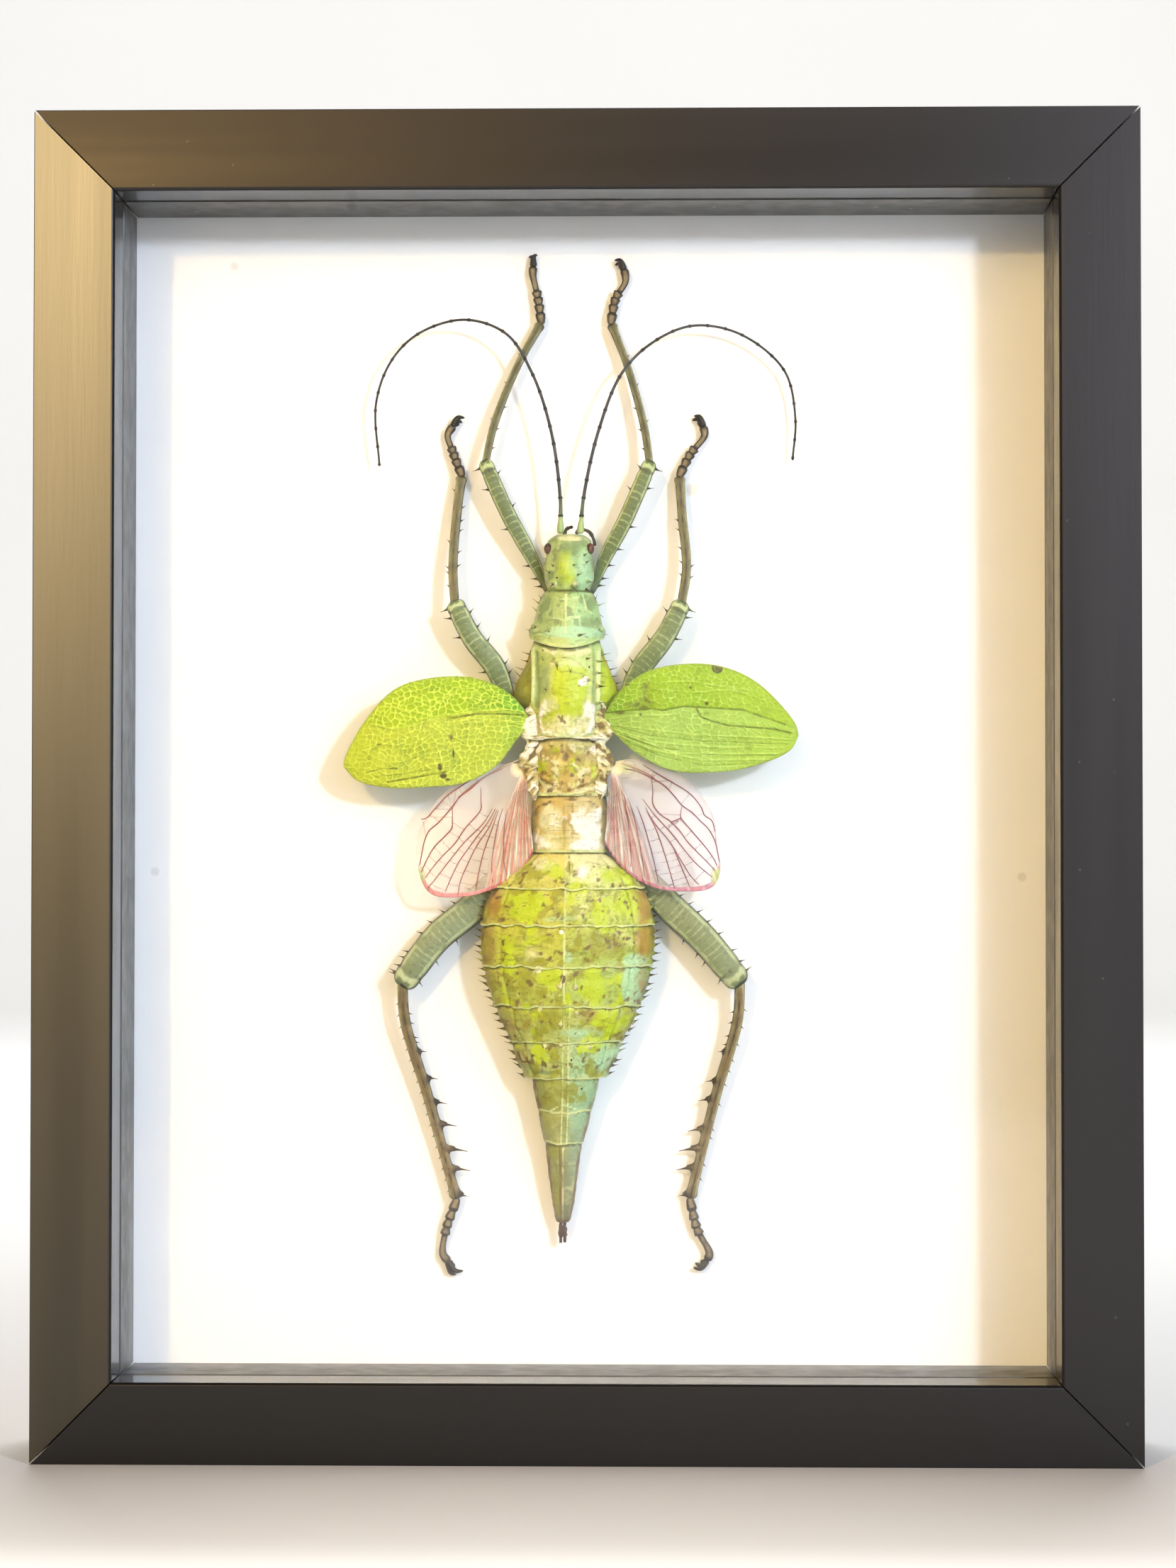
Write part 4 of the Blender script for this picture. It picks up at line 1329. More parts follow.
for leg, (outer, thigh_points, shin_points, foot_points, claw_points) in LEGS.items():
    pair = leg.split("_")[0]
    knee, ankle = thigh_points[-1], shin_points[-1]
    thigh_girth, shin_girth = steps_between(THIGH_WIDTHS[pair]), steps_between(SHIN_WIDTHS[pair])

    end_way = np.array(knee) - np.array(thigh_points[-2])
    thigh_end = tuple(np.array(knee) + end_way / np.linalg.norm(end_way) * 0.9)
    thigh_line = [*thigh_points[:-1], thigh_end]
    thigh = limb("thigh", thigh_line, LIMB_GRIDS["thigh"], thigh_girth, thigh_skin, cap=0.75)
    knee_thorn = (outer, 0.955, 1.9, -0.1)
    spines = side_thorns(thigh_line, thigh_girth, [*thorn_rows(THIGH_THORNS[leg]), knee_thorn])
    thigh = joined([thigh, *spines], "thigh_" + leg)
    settle(thigh, THIGH_SHELLS[pair], "leg_green", "femur_" + leg)

    big = LONG_THORNS.get(leg, [])
    table = [(-outer, share, size, 0.25) for share, size in big] + thorn_rows(SHIN_THORNS[leg])
    webbed = [(share, size) for share, size in big if size > 1.2]
    shin_line = with_ends(knee, shin_points)
    shin = limb("shin", shin_line, LIMB_GRIDS["shin"], shin_girth, shin_skin(-outer, webbed), cap=1.0)
    shin = joined([shin, *side_thorns(shin_line, shin_girth, table)], "shin_" + leg)
    settle(shin, SHIN_SHELLS[pair], "leg_olive", "tibia_" + leg)

    foot = limb("foot", with_ends(ankle, foot_points), LIMB_GRIDS["foot"], foot_girth, foot_skin, 0.9, 2.2)
    toe = np.array(foot_points[-1])
    heel = toe - (toe - np.array(foot_points[-2])) * 0.2
    claws = []
    for claw_tip in np.array(claw_points):
        arch = np.array([0.3 * np.sign(toe[0] - claw_tip[0]), 0.9 * np.sign(claw_tip[1]), 0.4])
        bent = [tuple(heel), tuple(heel * 0.45 + claw_tip * 0.55 + arch), tuple(claw_tip)]
        claws.append(limb("claw", bent, LIMB_GRIDS["claw"], lambda run: 0.8 * (1 - run) ** 0.6 + 0.06,
                          lambda run, angle, mm: (0, {"edge": 1.2}), 1.0, 2.0))
    pad_place = spot(*(toe * 0.7 + np.mean(claw_points, axis=0) * 0.3))
    bpy.ops.mesh.primitive_uv_sphere_add(segments=20, ring_count=12, radius=1, location=pad_place)
    pad = bpy.context.object
    pad.scale = (0.0006, 0.0005, 0.0006)
    write_marks(pad, {"edge": 0.9})
    foot = joined([foot, *claws, pad], "foot_" + leg)
    settle(foot, FOOT_SHELL, "foot_brown", "tarsus_" + leg)


# ---- Eyes, feelers and mouthparts ----
# Round eyes of dark facets in a pale socket, two long feelers of short rings
# that grow from a green base joint, and a pair of jointed palps.

def eye_lens():
    material, tree, shader, spots = new_finish("eye_lens", specular_ior_level=0.6, coat_weight=0.6,
                                               coat_roughness=0.08)
    facets = add_node(tree, "TexVoronoi", {"Vector": spots, "Scale": 9000.0}).outputs["Distance"]
    streaks = cloud(tree, spots, 1400.0, 3.0, 0.6, 0.4)
    finish(tree, shader, mixed(tree, ranged(tree, streaks, 0.4, 0.65), (48, 24, 20), (104, 56, 44)),
           ranged(tree, facets, 0.0, 0.6, 0.16, 0.3), facets, 0.25, 0.00003)
    return material


EYE_LENS = eye_lens()
EYE_RADIUS = 0.00112

for side, sign in SIDES.items():
    eye_place = spot(0.25 + sign * 4.5, 53.0, 10.2)
    bpy.ops.mesh.primitive_uv_sphere_add(segments=40, ring_count=24, radius=EYE_RADIUS, location=eye_place)
    eye = bpy.context.object
    eye.name = "eye_ball_" + side
    eye.scale = (0.8, 1.0, 1.1)
    bpy.ops.object.shade_smooth()
    settle(eye, EYE_LENS, "eye", "eye_" + side)

FEELER_SHELL = shell_limb("feeler_shell", (34, 40, 52), (48, 54, 66), (16, 18, 24), (150, 172, 118), 0.95)
FEELERS = {
    "left": [
        (-1.6, 56.2, 9.8), (-1.7, 64.4, 9.8), (-3.7, 78.6, 9.5), (-7.9, 91.2, 9), (-13.4, 99.5, 8.5),
        (-22.3, 102.6, 8), (-32.3, 99.8, 7), (-38.3, 93.9, 6.3), (-41.6, 84.8, 5.5), (-40.9, 71.4, 4.5)],
    "right": [
        (2.6, 56.2, 9.8), (3.4, 64.4, 9.8), (6.6, 78.6, 9.5), (11.5, 90.8, 9), (18.3, 97.7, 8),
        (27, 101.4, 6.5), (37.1, 99.7, 5), (46.5, 92, 4), (48.9, 81.8, 3.5), (48.3, 72.6, 3)],
}
PALPS = {
    "left": [(-1.0, 56.1, 6.2), (-0.4, 57.5, 6.8), (1.0, 58.0, 7.4)],
    "right": [(1.6, 56.4, 6.6), (2.4, 57.4, 6.4), (4.4, 57.0, 6.2), (5.4, 55.4, 6.0), (5.7, 53.9, 6.0)],
}
RING_PITCH = 3.9


def feeler_girth(run):
    """A stout base joint, a short second one, and a long whip of rings."""
    return np.interp(run, [0, 0.012, 0.024, 0.03, 0.06, 0.42, 1.0], [0.7, 0.74, 0.6, 0.46, 0.37, 0.29, 0.22])


def feeler_skin(run, angle, mm):
    rings = np.clip(np.cos(math.pi * mm / RING_PITCH), -1, 1) ** 60
    base = 1 - eased(run, 0.024, 0.04)
    pale = base * 1.4 + 0.25 * (1 - eased(run, 0.03, 0.2))
    edge = 0.8 * rings * (1 - base) + 0.5 * eased(run, 0.2, 0.7)
    return 0.16 * rings * (1 - base), {"pale": pale, "edge": edge}


def palp_girth(run):
    return np.interp(run, [0, 0.3, 0.36, 0.64, 0.7, 0.95, 1], [0.42, 0.46, 0.32, 0.44, 0.3, 0.36, 0.2])


def palp_skin(run, angle, mm):
    return 0, {"pale": 0.6 * (1 - run), "edge": 0.4 * run}


for side in SIDES:
    feeler = limb("feeler_" + side, FEELERS[side], LIMB_GRIDS["feeler"], feeler_girth, feeler_skin, 1.0, 2.0)
    settle(feeler, FEELER_SHELL, "feelers", f"antenna_{side}_base", f"antenna_{side}_tip")
    palp = limb("palp_piece_" + side, PALPS[side], LIMB_GRIDS["palp"], palp_girth, palp_skin, 1.0, 2.0)
    settle(palp, FOOT_SHELL, "foot_brown", "palp_" + side)


# ---- Fore wings ----
# Two short leathery green wings, spread flat, with a raised net of veins. Each
# is one thin stiff blade, narrow at the hinge and curved to a blunt point.

def blade_grid(name, across, along, place):
    """A thin blade: a flat grid put in place by place(share across, share along)."""
    return grid_skin(name, along, across, lambda length_share, width_share: place(width_share, length_share))


def thickened(blade, thickness):
    """Merges a blade's narrow ends, turns it to face the glass, and gives it a thickness."""
    only(blade)
    merged(BLADE_GAP, bpy.ops.mesh.normals_make_consistent, inside=False)
    if sum(face.normal.y * face.area for face in blade.data.polygons) > 0:
        blade.data.flip_normals()
    plump = blade.modifiers.new("plump", "SOLIDIFY")
    plump.thickness = thickness
    plump.offset = -1
    bpy.ops.object.modifier_apply(modifier="plump")
    bpy.ops.object.shade_smooth()


def net(x, z, seed, pitch_x, pitch_z):
    """How near each place is to the walls of a net of uneven cells, 1 on a wall."""
    px, pz = x / pitch_x, z / pitch_z
    base_x, base_z = np.floor(px), np.floor(pz)
    first, second = np.full(x.shape, 9.0), np.full(x.shape, 9.0)
    for dx in (-2, -1, 0, 1, 2):
        for dz in (-2, -1, 0, 1, 2):
            cx, cz = base_x + dx, base_z + dz
            jitter_x = np.modf(np.abs(np.sin(cx * 127.1 + cz * 311.7 + seed) * 43758.5))[0]
            jitter_z = np.modf(np.abs(np.sin(cx * 269.5 + cz * 183.3 + seed) * 43758.5))[0]
            apart = np.hypot(cx + 0.15 + 0.7 * jitter_x - px, cz + 0.15 + 0.7 * jitter_z - pz)
            second = np.where(apart < first, first, np.minimum(second, apart))
            first = np.minimum(first, apart)
    return peak(second - first, 0.17)


# The outline of each wing, its pale and sunk veins, its stains (x, z, half sizes
# and strength), and how wide, strong and raised the cells of its net are.
FORE_WINGS = {
    "left": {
        "front": [
            (8.2, 16.6), (11.2, 20.8), (17.8, 24.6), (26.6, 25.4), (36.5, 23.0), (43.0, 16.5), (47.6, 8.4),
            (48.0, 6.3)],
        "rear": [
            (8.2, 15.0), (10.7, 12.1), (15.2, 6.3), (22.1, 2.7), (30.4, 1.8), (38.2, 1.7), (45.2, 3.4),
            (48.0, 6.3)],
        "pale": [
            [
                (8.6, 17.9), (13, 18.4), (19.7, 18.0), (25, 17.2), (29.3, 16.2), (33, 15.0), (36.9, 14.2),
                (42, 15.4)],
            [(9.6, 15.2), (14.7, 16.1), (19.7, 16.5), (22.8, 15.8), (25.3, 15.6)],
            [(20.3, 18.6), (20.7, 16.9), (22.8, 15.9)],
            [(29.3, 19.3), (29.3, 16.0), (25.8, 13.4), (22.0, 11.4)], [(19.7, 24.0), (19.7, 19.2)],
            [(12.1, 19.3), (16.2, 20.5), (19.7, 21.8), (23.3, 23.3)],
            [(13.5, 20.8), (17.5, 22.6), (21.0, 24.0)], [(29.3, 17.2), (34.0, 18.2), (39.0, 19.0)],
            [(23.0, 22.8), (27.5, 20.0), (29.6, 18.2)], [(33.0, 13.8), (38.0, 11.4), (43.5, 9.6)]],
        "sunk": [
            [(9.4, 17.2), (14.0, 17.4), (19.5, 17.4), (25.0, 16.4)],
            [(26.0, 5.0), (32.0, 4.0), (38.5, 2.9)], [(24.0, 6.2), (31.0, 5.2), (41.0, 4.0)],
            [(32.0, 8.3), (37.4, 6.3), (43.0, 5.0)]],
        "stains": [
            (24.3, 8.9, 0.22, 0.85, 1.5), (26.4, 4.2, 0.8, 0.5, 1.2), (27.2, 6.0, 0.5, 0.9, 1.0),
            (25.3, 3.4, 0.9, 0.25, 1.0), (40.2, 10.9, 0.5, 0.25, 1.2), (37.4, 5.8, 1.6, 0.2, 0.9),
            (24.8, 12.5, 0.6, 1.0, 0.6), (30.5, 15.0, 0.6, 0.8, 0.5)],
        "net": 1.0, "rows": 0.75, "row_pitch": 1.4},
    "right": {
        "front": [
            (7.9, 17.6), (11.3, 22.5), (16.8, 26.4), (24.9, 28.1), (33.5, 27.4), (40.8, 23.9), (48.6, 15.4),
            (49.3, 12.9)],
        "rear": [
            (7.9, 16.2), (11.2, 12.1), (15.9, 8.3), (22.6, 5.3), (31.5, 5.0), (39.7, 6.3), (47.6, 9.8),
            (49.3, 12.9)],
        "pale": [
            [(20.2, 24.2), (26.3, 24.4), (31, 23.6), (39, 22.4)],
            [(18.2, 22.8), (26.3, 22.0), (34.5, 22.6), (42, 20.4)],
            [(27.5, 18.5), (28.4, 17.0), (31.0, 15.9)], [(8.8, 16.4), (14.0, 17.0), (24.0, 17.3)],
            [(9.4, 15.2), (16.5, 14.2), (27.0, 13.0), (41.0, 12.4), (48.0, 12.0)],
            [(9.8, 14.2), (18.5, 11.4), (30.0, 10.4), (46.0, 10.2)],
            [(10.2, 13.2), (18.0, 9.8), (28.6, 7.6), (43.0, 7.8)],
            [(12.6, 12.9), (23.0, 9.0), (36.0, 8.8), (45.0, 9.0)]],
        "sunk": [
            [
                (8.3, 17.7), (14.3, 18.2), (18.1, 18.5), (20.2, 18.1), (24.7, 19.0), (29.8, 18.7),
                (37.1, 18.3), (41.4, 16.9), (46.4, 15.2)],
            [
                (27.5, 18.5), (28.5, 16.7), (31.3, 15.7), (34.3, 14.9), (37.3, 14.7), (43.9, 14.2),
                (47.6, 13.4)],
            [(10.4, 14.8), (17.5, 12.8), (29.0, 11.6), (47.0, 11.0)],
            [(11.0, 13.0), (18.5, 10.4), (29.8, 8.8), (44.5, 8.6)],
            [(13.0, 11.2), (20.0, 8.4), (29.0, 6.4), (40.0, 6.9)]],
        "stains": [
            (16.9, 22.3, 1.7, 2.8, 0.5), (16.0, 19.2, 4.6, 1.1, 0.5), (26.2, 23.0, 0.3, 0.3, 1.3),
            (36.7, 22.1, 0.4, 0.35, 0.6), (29.6, 19.6, 0.38, 0.38, 1.5), (15.6, 17.2, 0.28, 0.28, 1.2),
            (12.4, 23.7, 0.9, 0.35, 1.3), (11.8, 17.6, 3.0, 0.5, 0.6)],
        "net": 0.6, "rows": 0.9, "row_pitch": 1.9},
}
BLADE_HEIGHTS = [11.8, 13.4, 13.6, 13.2, 12.6, 11.9, 11.2]
BLADE_ALONG, BLADE_ACROSS = 250, 130
BLADE_THICK = 0.0003
BLADE_GAP = 2e-6
EYE_SPOT = (31.9, 27.2)


def fore_wing_place(side, sign):
    shape = FORE_WINGS[side]
    edges = [route([(x, z, 0) for x, z in shape[edge]], BLADE_ALONG + 1)[0] for edge in ("front", "rear")]
    base_height = steps_between(BLADE_HEIGHTS)

    def place(across, along):
        row = np.rint(along * BLADE_ALONG).astype(int)
        point = edges[0][row] * (1 - across)[:, None] + edges[1][row] * across[:, None]
        x, z = point[:, 0], point[:, 1]
        height = base_height(along) + 0.9 * np.sin(math.pi * along) * np.sin(math.pi * across)
        main = shape["pale" if side == "left" else "sunk"][0]
        level = z - np.interp(x, *zip(*main))
        field = eased(level, -1.5, 1.5)
        pale = sum(peak(distance_to(x, z, line), 0.2) for line in shape["pale"])
        sunk = sum(peak(distance_to(x, z, line), 0.2 - 0.05 * (n > 1)) * (1 - 0.4 * (n > 1))
                   for n, line in enumerate(shape["sunk"]))
        stain = sum(s * np.exp(-(((x - px) / rx) ** 2 + ((z - pz) / rz) ** 2) ** 1.3)
                    for px, pz, rx, rz, s in shape["stains"])
        warp_x = x + 0.35 * np.sin(z * 1.3 + x * 0.7)
        warp_z = z + 0.35 * np.sin(x * 1.1 - z * 0.6)
        cells = net(warp_x, warp_z, 3.1, 1.35, 1.15) * field
        rows = net(warp_x, level + 0.15 * np.sin(x), 8.7, shape["row_pitch"], 1.2) * (1 - field)
        walls = np.clip(cells + rows * shape["rows"], 0, 1) * (1 - 0.35 * eased(along, 0.6, 0.95))
        walls = walls * shape["net"]
        edge = np.minimum(across, 1 - across) * 25 * np.sin(math.pi * np.clip(along, 0.02, 0.98))
        wave = rough_noise(np.stack([x, z, height], -1), 0.16, 2)
        pale, sunk = np.clip(pale, 0, 1), np.clip(sunk, 0, 1)
        relief = 0.2 * walls + 0.18 * pale - 0.18 * sunk + 0.35 * wave - 0.1 * np.clip(stain, 0, 1)
        if side == "right":
            from_spot = np.hypot(x - EYE_SPOT[0], z - EYE_SPOT[1])
            stain = stain + 1.6 * peak(from_spot - 0.95, 0.2) + 1.1 * np.exp(-(from_spot / 0.6) ** 4)
        marks = {"wall": walls, "pale": pale * 0.5, "sunk": sunk, "stain": stain, "field": field,
                 "edge": np.exp(-edge / 0.5), "root": 1 - eased(along, 0.02, 0.3),
                 "far": eased(along, 0.35, 0.95)}
        return spots_at(sign * x, z, height + relief), marks
    return place


def leather(name, field_tones, rear_tones, root_tone, far_tone, wall_tone):
    """Fore wing skin: front and rear fields, a pale net, dark creases and stains, a thin dark edge."""
    material, tree, shader, spots = new_finish(name, specular_ior_level=0.35)
    fine = shell(tree, spots, 500.0)
    coarse = shell(tree, spots, 110.0)
    front = mixed(tree, coarse["Mottle"], *field_tones)
    rear = mixed(tree, coarse["Mottle"], *rear_tones)
    colour = mixed(tree, ranged(tree, mark(tree, "field"), 0.3, 0.7), rear, front)
    colour = mixed(tree, times(tree, mark(tree, "far"), 0.6), colour, far_tone)
    leafy = ranged(tree, cloud(tree, spots, 230.0, 5.0, 0.66, 0.9), 0.5, 0.68, 0.0, 0.5)
    colour = mixed(tree, leafy, colour, (104, 132, 20))
    rooted = times(tree, mark(tree, "root"), ranged(tree, mark(tree, "field"), 0.3, 0.7, 0.35, 0.95))
    colour = mixed(tree, rooted, colour, root_tone)
    ragged = ranged(tree, fine["Mottle"], 0.25, 0.75, 0.5, 1.5)
    paints = [("wall", wall_tone, 0.75), ("pale", wall_tone, 0.8), ("sunk", (84, 98, 24), 0.85),
              ("stain", (64, 52, 30), 0.92), ("edge", (120, 136, 60), 0.6)]
    colour = painted(tree, colour, ragged, 0.9, paints)
    gloss = ranged(tree, fine["Mottle"], 0.3, 0.7, 0.42, 0.56)
    cells = add_node(tree, "TexVoronoi", {"Vector": spots, "Scale": 2100.0}, feature="DISTANCE_TO_EDGE")
    ridges = ranged(tree, cells.outputs["Distance"], 0.0, 0.25, 0.35, 0.0)
    finish(tree, shader, colour, gloss, math_node(tree, "ADD", ridges, fine["Pores"]), 0.5, 0.00016)
    return material


LEATHERS = {
    "left": leather("fore_wing_left", ((120, 156, 2), (146, 178, 8)), ((140, 160, 34), (172, 190, 68)),
                    (72, 146, 4), (176, 186, 28), (212, 228, 100)),
    "right": leather("fore_wing_right", ((112, 150, 8), (140, 172, 20)), ((124, 160, 64), (152, 184, 92)),
                     (104, 146, 34), (150, 180, 40), (190, 214, 124)),
}
for side, sign in SIDES.items():
    blade = blade_grid("fore_wing_" + side, BLADE_ACROSS, BLADE_ALONG, fore_wing_place(side, sign))
    thickened(blade, BLADE_THICK)
    settle(blade, LEATHERS[side], "fore_wing", "tegmen_" + side)


# ---- Hind wings ----
# Two thin, pleated membranes, half hidden under the fore wings. Stiff dark
# veins fan out from each hinge, with fine cross veins between them.

# The hinge of each wing, the angles it fans through, how far its front bends, how
# far it reaches from front to rear, and its stiff veins, each with its half width.
HIND_WINGS = {
    "left": {
        "hinge": (9.2, 6.8),
        "turns": (32, 96),
        "bend": 38,
        "reaches": [26.7, 31.2, 34.2, 31.6, 27.9, 24.0, 18.5],
        "veins": [
            (
                0.20,
                [
                    (13.8, 5.9), (18.1, 3.8), (20.8, 1.4), (22.9, -0.1), (24.6, -2.3), (27.8, -5.9),
                    (29.6, -7.4), (30.5, -9.2), (31.2, -12.3), (31.7, -15.0)]),
            (0.18, [(19.9, 3.8), (22.9, 2.0), (25.9, -0.1), (28.5, -2.9), (30.2, -4.7), (31.5, -5.0)]),
            (
                0.19,
                [
                    (24.6, -2.6), (24.6, -5.3), (24.7, -6.8), (26.2, -8.6), (28.4, -10.8), (30.2, -13.8),
                    (31.4, -16.5)]),
            (
                0.18,
                [
                    (18.5, 2.0), (18.5, -1.1), (18.5, -2.9), (22.0, -7.1), (24.1, -10.2), (26.8, -12.9),
                    (29.3, -15.9), (30.5, -17.6)]),
            (0.17, [(15.9, -2.6), (18.0, -5.9), (22.0, -9.9), (25.9, -14.7), (28.7, -18.3), (30.0, -19.7)]),
            (0.17, [(15.3, -2.6), (16.8, -5.3), (20.2, -9.9), (23.2, -14.1), (24.7, -17.1), (26.2, -20.6)]),
            (
                0.17,
                [(15.0, -2.9), (16.8, -6.8), (19.3, -10.5), (21.4, -14.7), (22.9, -18.3), (23.5, -21.3)]),
            (0.16, [(14.7, -2.9), (15.9, -6.5), (17.7, -11.4), (18.6, -14.7), (19.7, -20.3)]),
            (0.15, [(13.8, -2.6), (14.7, -5.6), (15.6, -10.2), (16.2, -14.7), (16.0, -18.6)]),
            (0.14, [(12.9, -2.6), (13.5, -7.1), (13.6, -10.8), (13.6, -14.1), (12.8, -17.0)]),
            (0.30, [(9.9, 8.0), (13.2, 6.5), (16.8, 4.6), (20.2, 2.3), (23.5, -0.5)])]},
    "right": {
        "hinge": (9.4, 7.1),
        "turns": (27, 95),
        "bend": 44,
        "reaches": [24.0, 29.4, 34.1, 31.4, 27.7, 22.7, 17.0],
        "veins": [
            (
                0.20,
                [
                    (12.0, 5.9), (14.7, 5.3), (17.9, 3.8), (20.5, 2.3), (22.9, -0.2), (24.4, -2.0),
                    (26.5, -3.5), (28.3, -5.3), (30.1, -7.1), (31.4, -9.5), (32.0, -12.0), (32.4, -14.1)]),
            (
                0.19,
                [
                    (15.9, 6.8), (19.2, 4.7), (22.3, 2.9), (25.3, 1.1), (27.1, -0.5), (28.6, -2.6),
                    (29.2, -4.1), (30.8, -5.3), (31.5, -7.7)]),
            (
                0.19,
                [
                    (17.9, 3.8), (18.2, 1.1), (18.2, -1.7), (19.6, -3.8), (22.0, -5.5), (24.1, -7.7),
                    (25.6, -9.8), (27.7, -12.0), (29.8, -14.1), (31.6, -16.0)]),
            (
                0.18,
                [
                    (24.4, -2.0), (24.2, -4.7), (25.9, -6.8), (27.7, -8.9), (29.8, -11.4), (31.4, -13.8),
                    (31.9, -15.0)]),
            (0.17, [(22.1, -5.5), (23.2, -5.2), (24.2, -4.7)]),
            (
                0.17,
                [
                    (15.9, -0.5), (18.6, -4.1), (21.4, -7.1), (22.9, -8.9), (25.3, -12.0), (27.7, -14.7),
                    (31.0, -17.4)]),
            (
                0.17,
                [
                    (16.5, -2.3), (18.6, -5.9), (21.1, -8.9), (22.6, -11.1), (24.4, -14.1), (26.5, -17.4),
                    (28.1, -19.0)]),
            (0.16, [(22.3, -10.4), (24.1, -14.7), (26.1, -19.5)]),
            (0.17, [(16.8, -3.2), (18.6, -6.5), (20.2, -10.8), (21.4, -14.7), (22.9, -19.9)]),
            (0.16, [(14.7, -2.0), (16.2, -5.9), (17.7, -11.1), (18.6, -14.7), (19.4, -18.6)]),
            (0.15, [(13.2, -1.1), (14.7, -6.5), (15.9, -13.2), (16.4, -17.1)]),
            (0.14, [(12.0, 0.5), (12.9, -5.6), (13.5, -11.7), (13.5, -15.3)]),
            (0.30, [(11.4, 7.1), (14.7, 5.9), (18.0, 4.1), (18.9, 3.3)])]},
}
FAN_HEIGHTS = [10.6, 11.4, 11.8, 11.4, 10.8, 10.2]
FAN_ACROSS, FAN_ALONG = 190, 130
FAN_ROOT = 0.8
FAN_THICK = 0.0001
PLEATS = 17
STOUT_VEIN = 0.25


def cross_veins(veins):
    """Short lines from each stiff vein to the nearest spot of the next one, every few millimetres."""
    lines = [route([(x, z, 0) for x, z in line], 60)[0][:, :2] for girth, line in veins if girth < STOUT_VEIN]
    crossing = []
    for number, (near, far) in enumerate(zip(lines, lines[1:])):
        for share in np.arange(0.22, 0.98, 0.14) + 0.04 * math.sin(5 * number):
            begin = near[int(share * 59)]
            end = far[np.argmin(np.hypot(*(far - begin).T))]
            if 0.8 < math.hypot(*(end - begin)) < 5.5:
                crossing.append([tuple(begin), tuple(end)])
    return crossing


def hind_wing_place(side, sign):
    shape = HIND_WINGS[side]

    def place(across, along):
        turned = shape["turns"][0] + (shape["turns"][1] - shape["turns"][0]) * across
        turned = np.radians(turned - shape["bend"] * (1 - along) * (1 - across) ** 2)
        reach = FAN_ROOT + (flowing(across, np.linspace(0, 1, 7), shape["reaches"]) - FAN_ROOT) * along
        x = shape["hinge"][0] + reach * np.cos(turned)
        z = shape["hinge"][1] - reach * np.sin(turned)
        height = flowing(along, np.linspace(0, 1, 6), FAN_HEIGHTS)
        height = height + 1.7 * across * along + 0.15 * along * np.cos(10 * math.pi * across)
        inner = eased(across, 0.55, 0.72)
        pleat = np.abs((across * PLEATS * 1.6) % 1 - 0.5) * 2
        fold = (0.16 + 0.5 * inner) * (pleat - 0.5) * eased(along, 0.05, 0.3)
        wrinkle = rough_noise(np.stack([x * 0.9, z * 0.5, height], -1), 0.7, 3)
        crosses = np.zeros(len(x))
        for line in cross_veins(shape["veins"]):
            crosses = np.maximum(crosses, peak(distance_to(x, z, line), 0.17))
        crosses = crosses * (1 - inner)
        rays = peak((np.abs((across * PLEATS) % 1 - 0.5) - 0.5) * reach / 6.5, 0.05) * inner
        relief = fold + 0.16 * wrinkle * along + 0.06 * crosses
        green = peak(np.hypot(x - 31.8, (z + 17.2) / 1.7), 1.3)
        if side == "right":
            green = green + 0.6 * peak(np.hypot(x - 12.5, z - 6.0), 2.6)
        marks = {"vein": np.clip(0.55 * crosses + 0.4 * rays, 0, 1),
                 "rim": eased(along, 0.955, 0.985) * eased(across, 0.18, 0.3),
                 "cream": 0.7 * (1 - eased(along, 0.04, 0.13)), "green": green,
                 "inner": inner, "costal": 1 - eased(across, 0.0, 0.1)}
        return spots_at(sign * x, z, height + relief), marks
    return place


def membrane(name, ground, blush, streaks, vein_tone, rim_tone):
    """Hind wing skin: thin and see-through, with streaked pleats, and dark veins that are not see-through."""
    material, tree, shader, spots = new_finish(name, specular_ior_level=0.6)
    fan_share = add_node(tree, "TexCoord").outputs["UV"]
    streak = cloud(tree, stretched(tree, fan_share, (2.2, 34.0, 1.0)), 1.0, 4.0, 0.6, 0.2)
    clouds = cloud(tree, spots, 170.0, 3.0, 0.6, 0.8)
    colour = mixed(tree, ranged(tree, clouds, 0.35, 0.65), *ground)
    pleats = ramp(tree, streak, list(zip((0.3, 0.42, 0.52, 0.64), streaks)))
    thick = ranged(tree, mark(tree, "inner"), 0.2, 0.9)
    colour = mixed(tree, thick, colour, pleats)
    colour = mixed(tree, ranged(tree, mark(tree, "costal"), 0.2, 0.9, 0.0, 0.6), colour, blush)
    paints = [("vein", vein_tone, 0.9), ("rim", rim_tone, 0.8), ("cream", (224, 214, 178), 0.9),
              ("green", (176, 190, 128), 0.9), ("edge", vein_tone, 1.0)]
    for label, paint, most in paints:
        share = ranged(tree, mark(tree, label), 0.15, 0.8, 0.0, most)
        colour = mixed(tree, share, colour, paint)
        thick = math_node(tree, "MAXIMUM", thick, share)
    plug(tree, ranged(tree, thick, 0.0, 1.0, 0.22, 0.97), shader.inputs["Alpha"])
    gloss = ranged(tree, clouds, 0.3, 0.7, 0.2, 0.36)
    wrinkles = math_node(tree, "ADD", streak, cloud(tree, spots, 900.0, 4.0, 0.65, 1.0))
    finish(tree, shader, colour, gloss, wrinkles, 0.45, 0.00025)
    return material


MEMBRANES = {
    "left": membrane(
        "hind_wing_left", ((242, 222, 212), (250, 240, 236)), (212, 184, 166),
        ((196, 104, 112), (210, 160, 146), (186, 168, 148), (238, 226, 218)), (142, 78, 76), (196, 98, 114)),
    "right": membrane(
        "hind_wing_right", ((206, 196, 210), (228, 222, 234)), (188, 172, 182),
        ((190, 104, 118), (192, 156, 156), (182, 172, 168), (230, 226, 230)), (126, 70, 88), (180, 104, 130)),
}


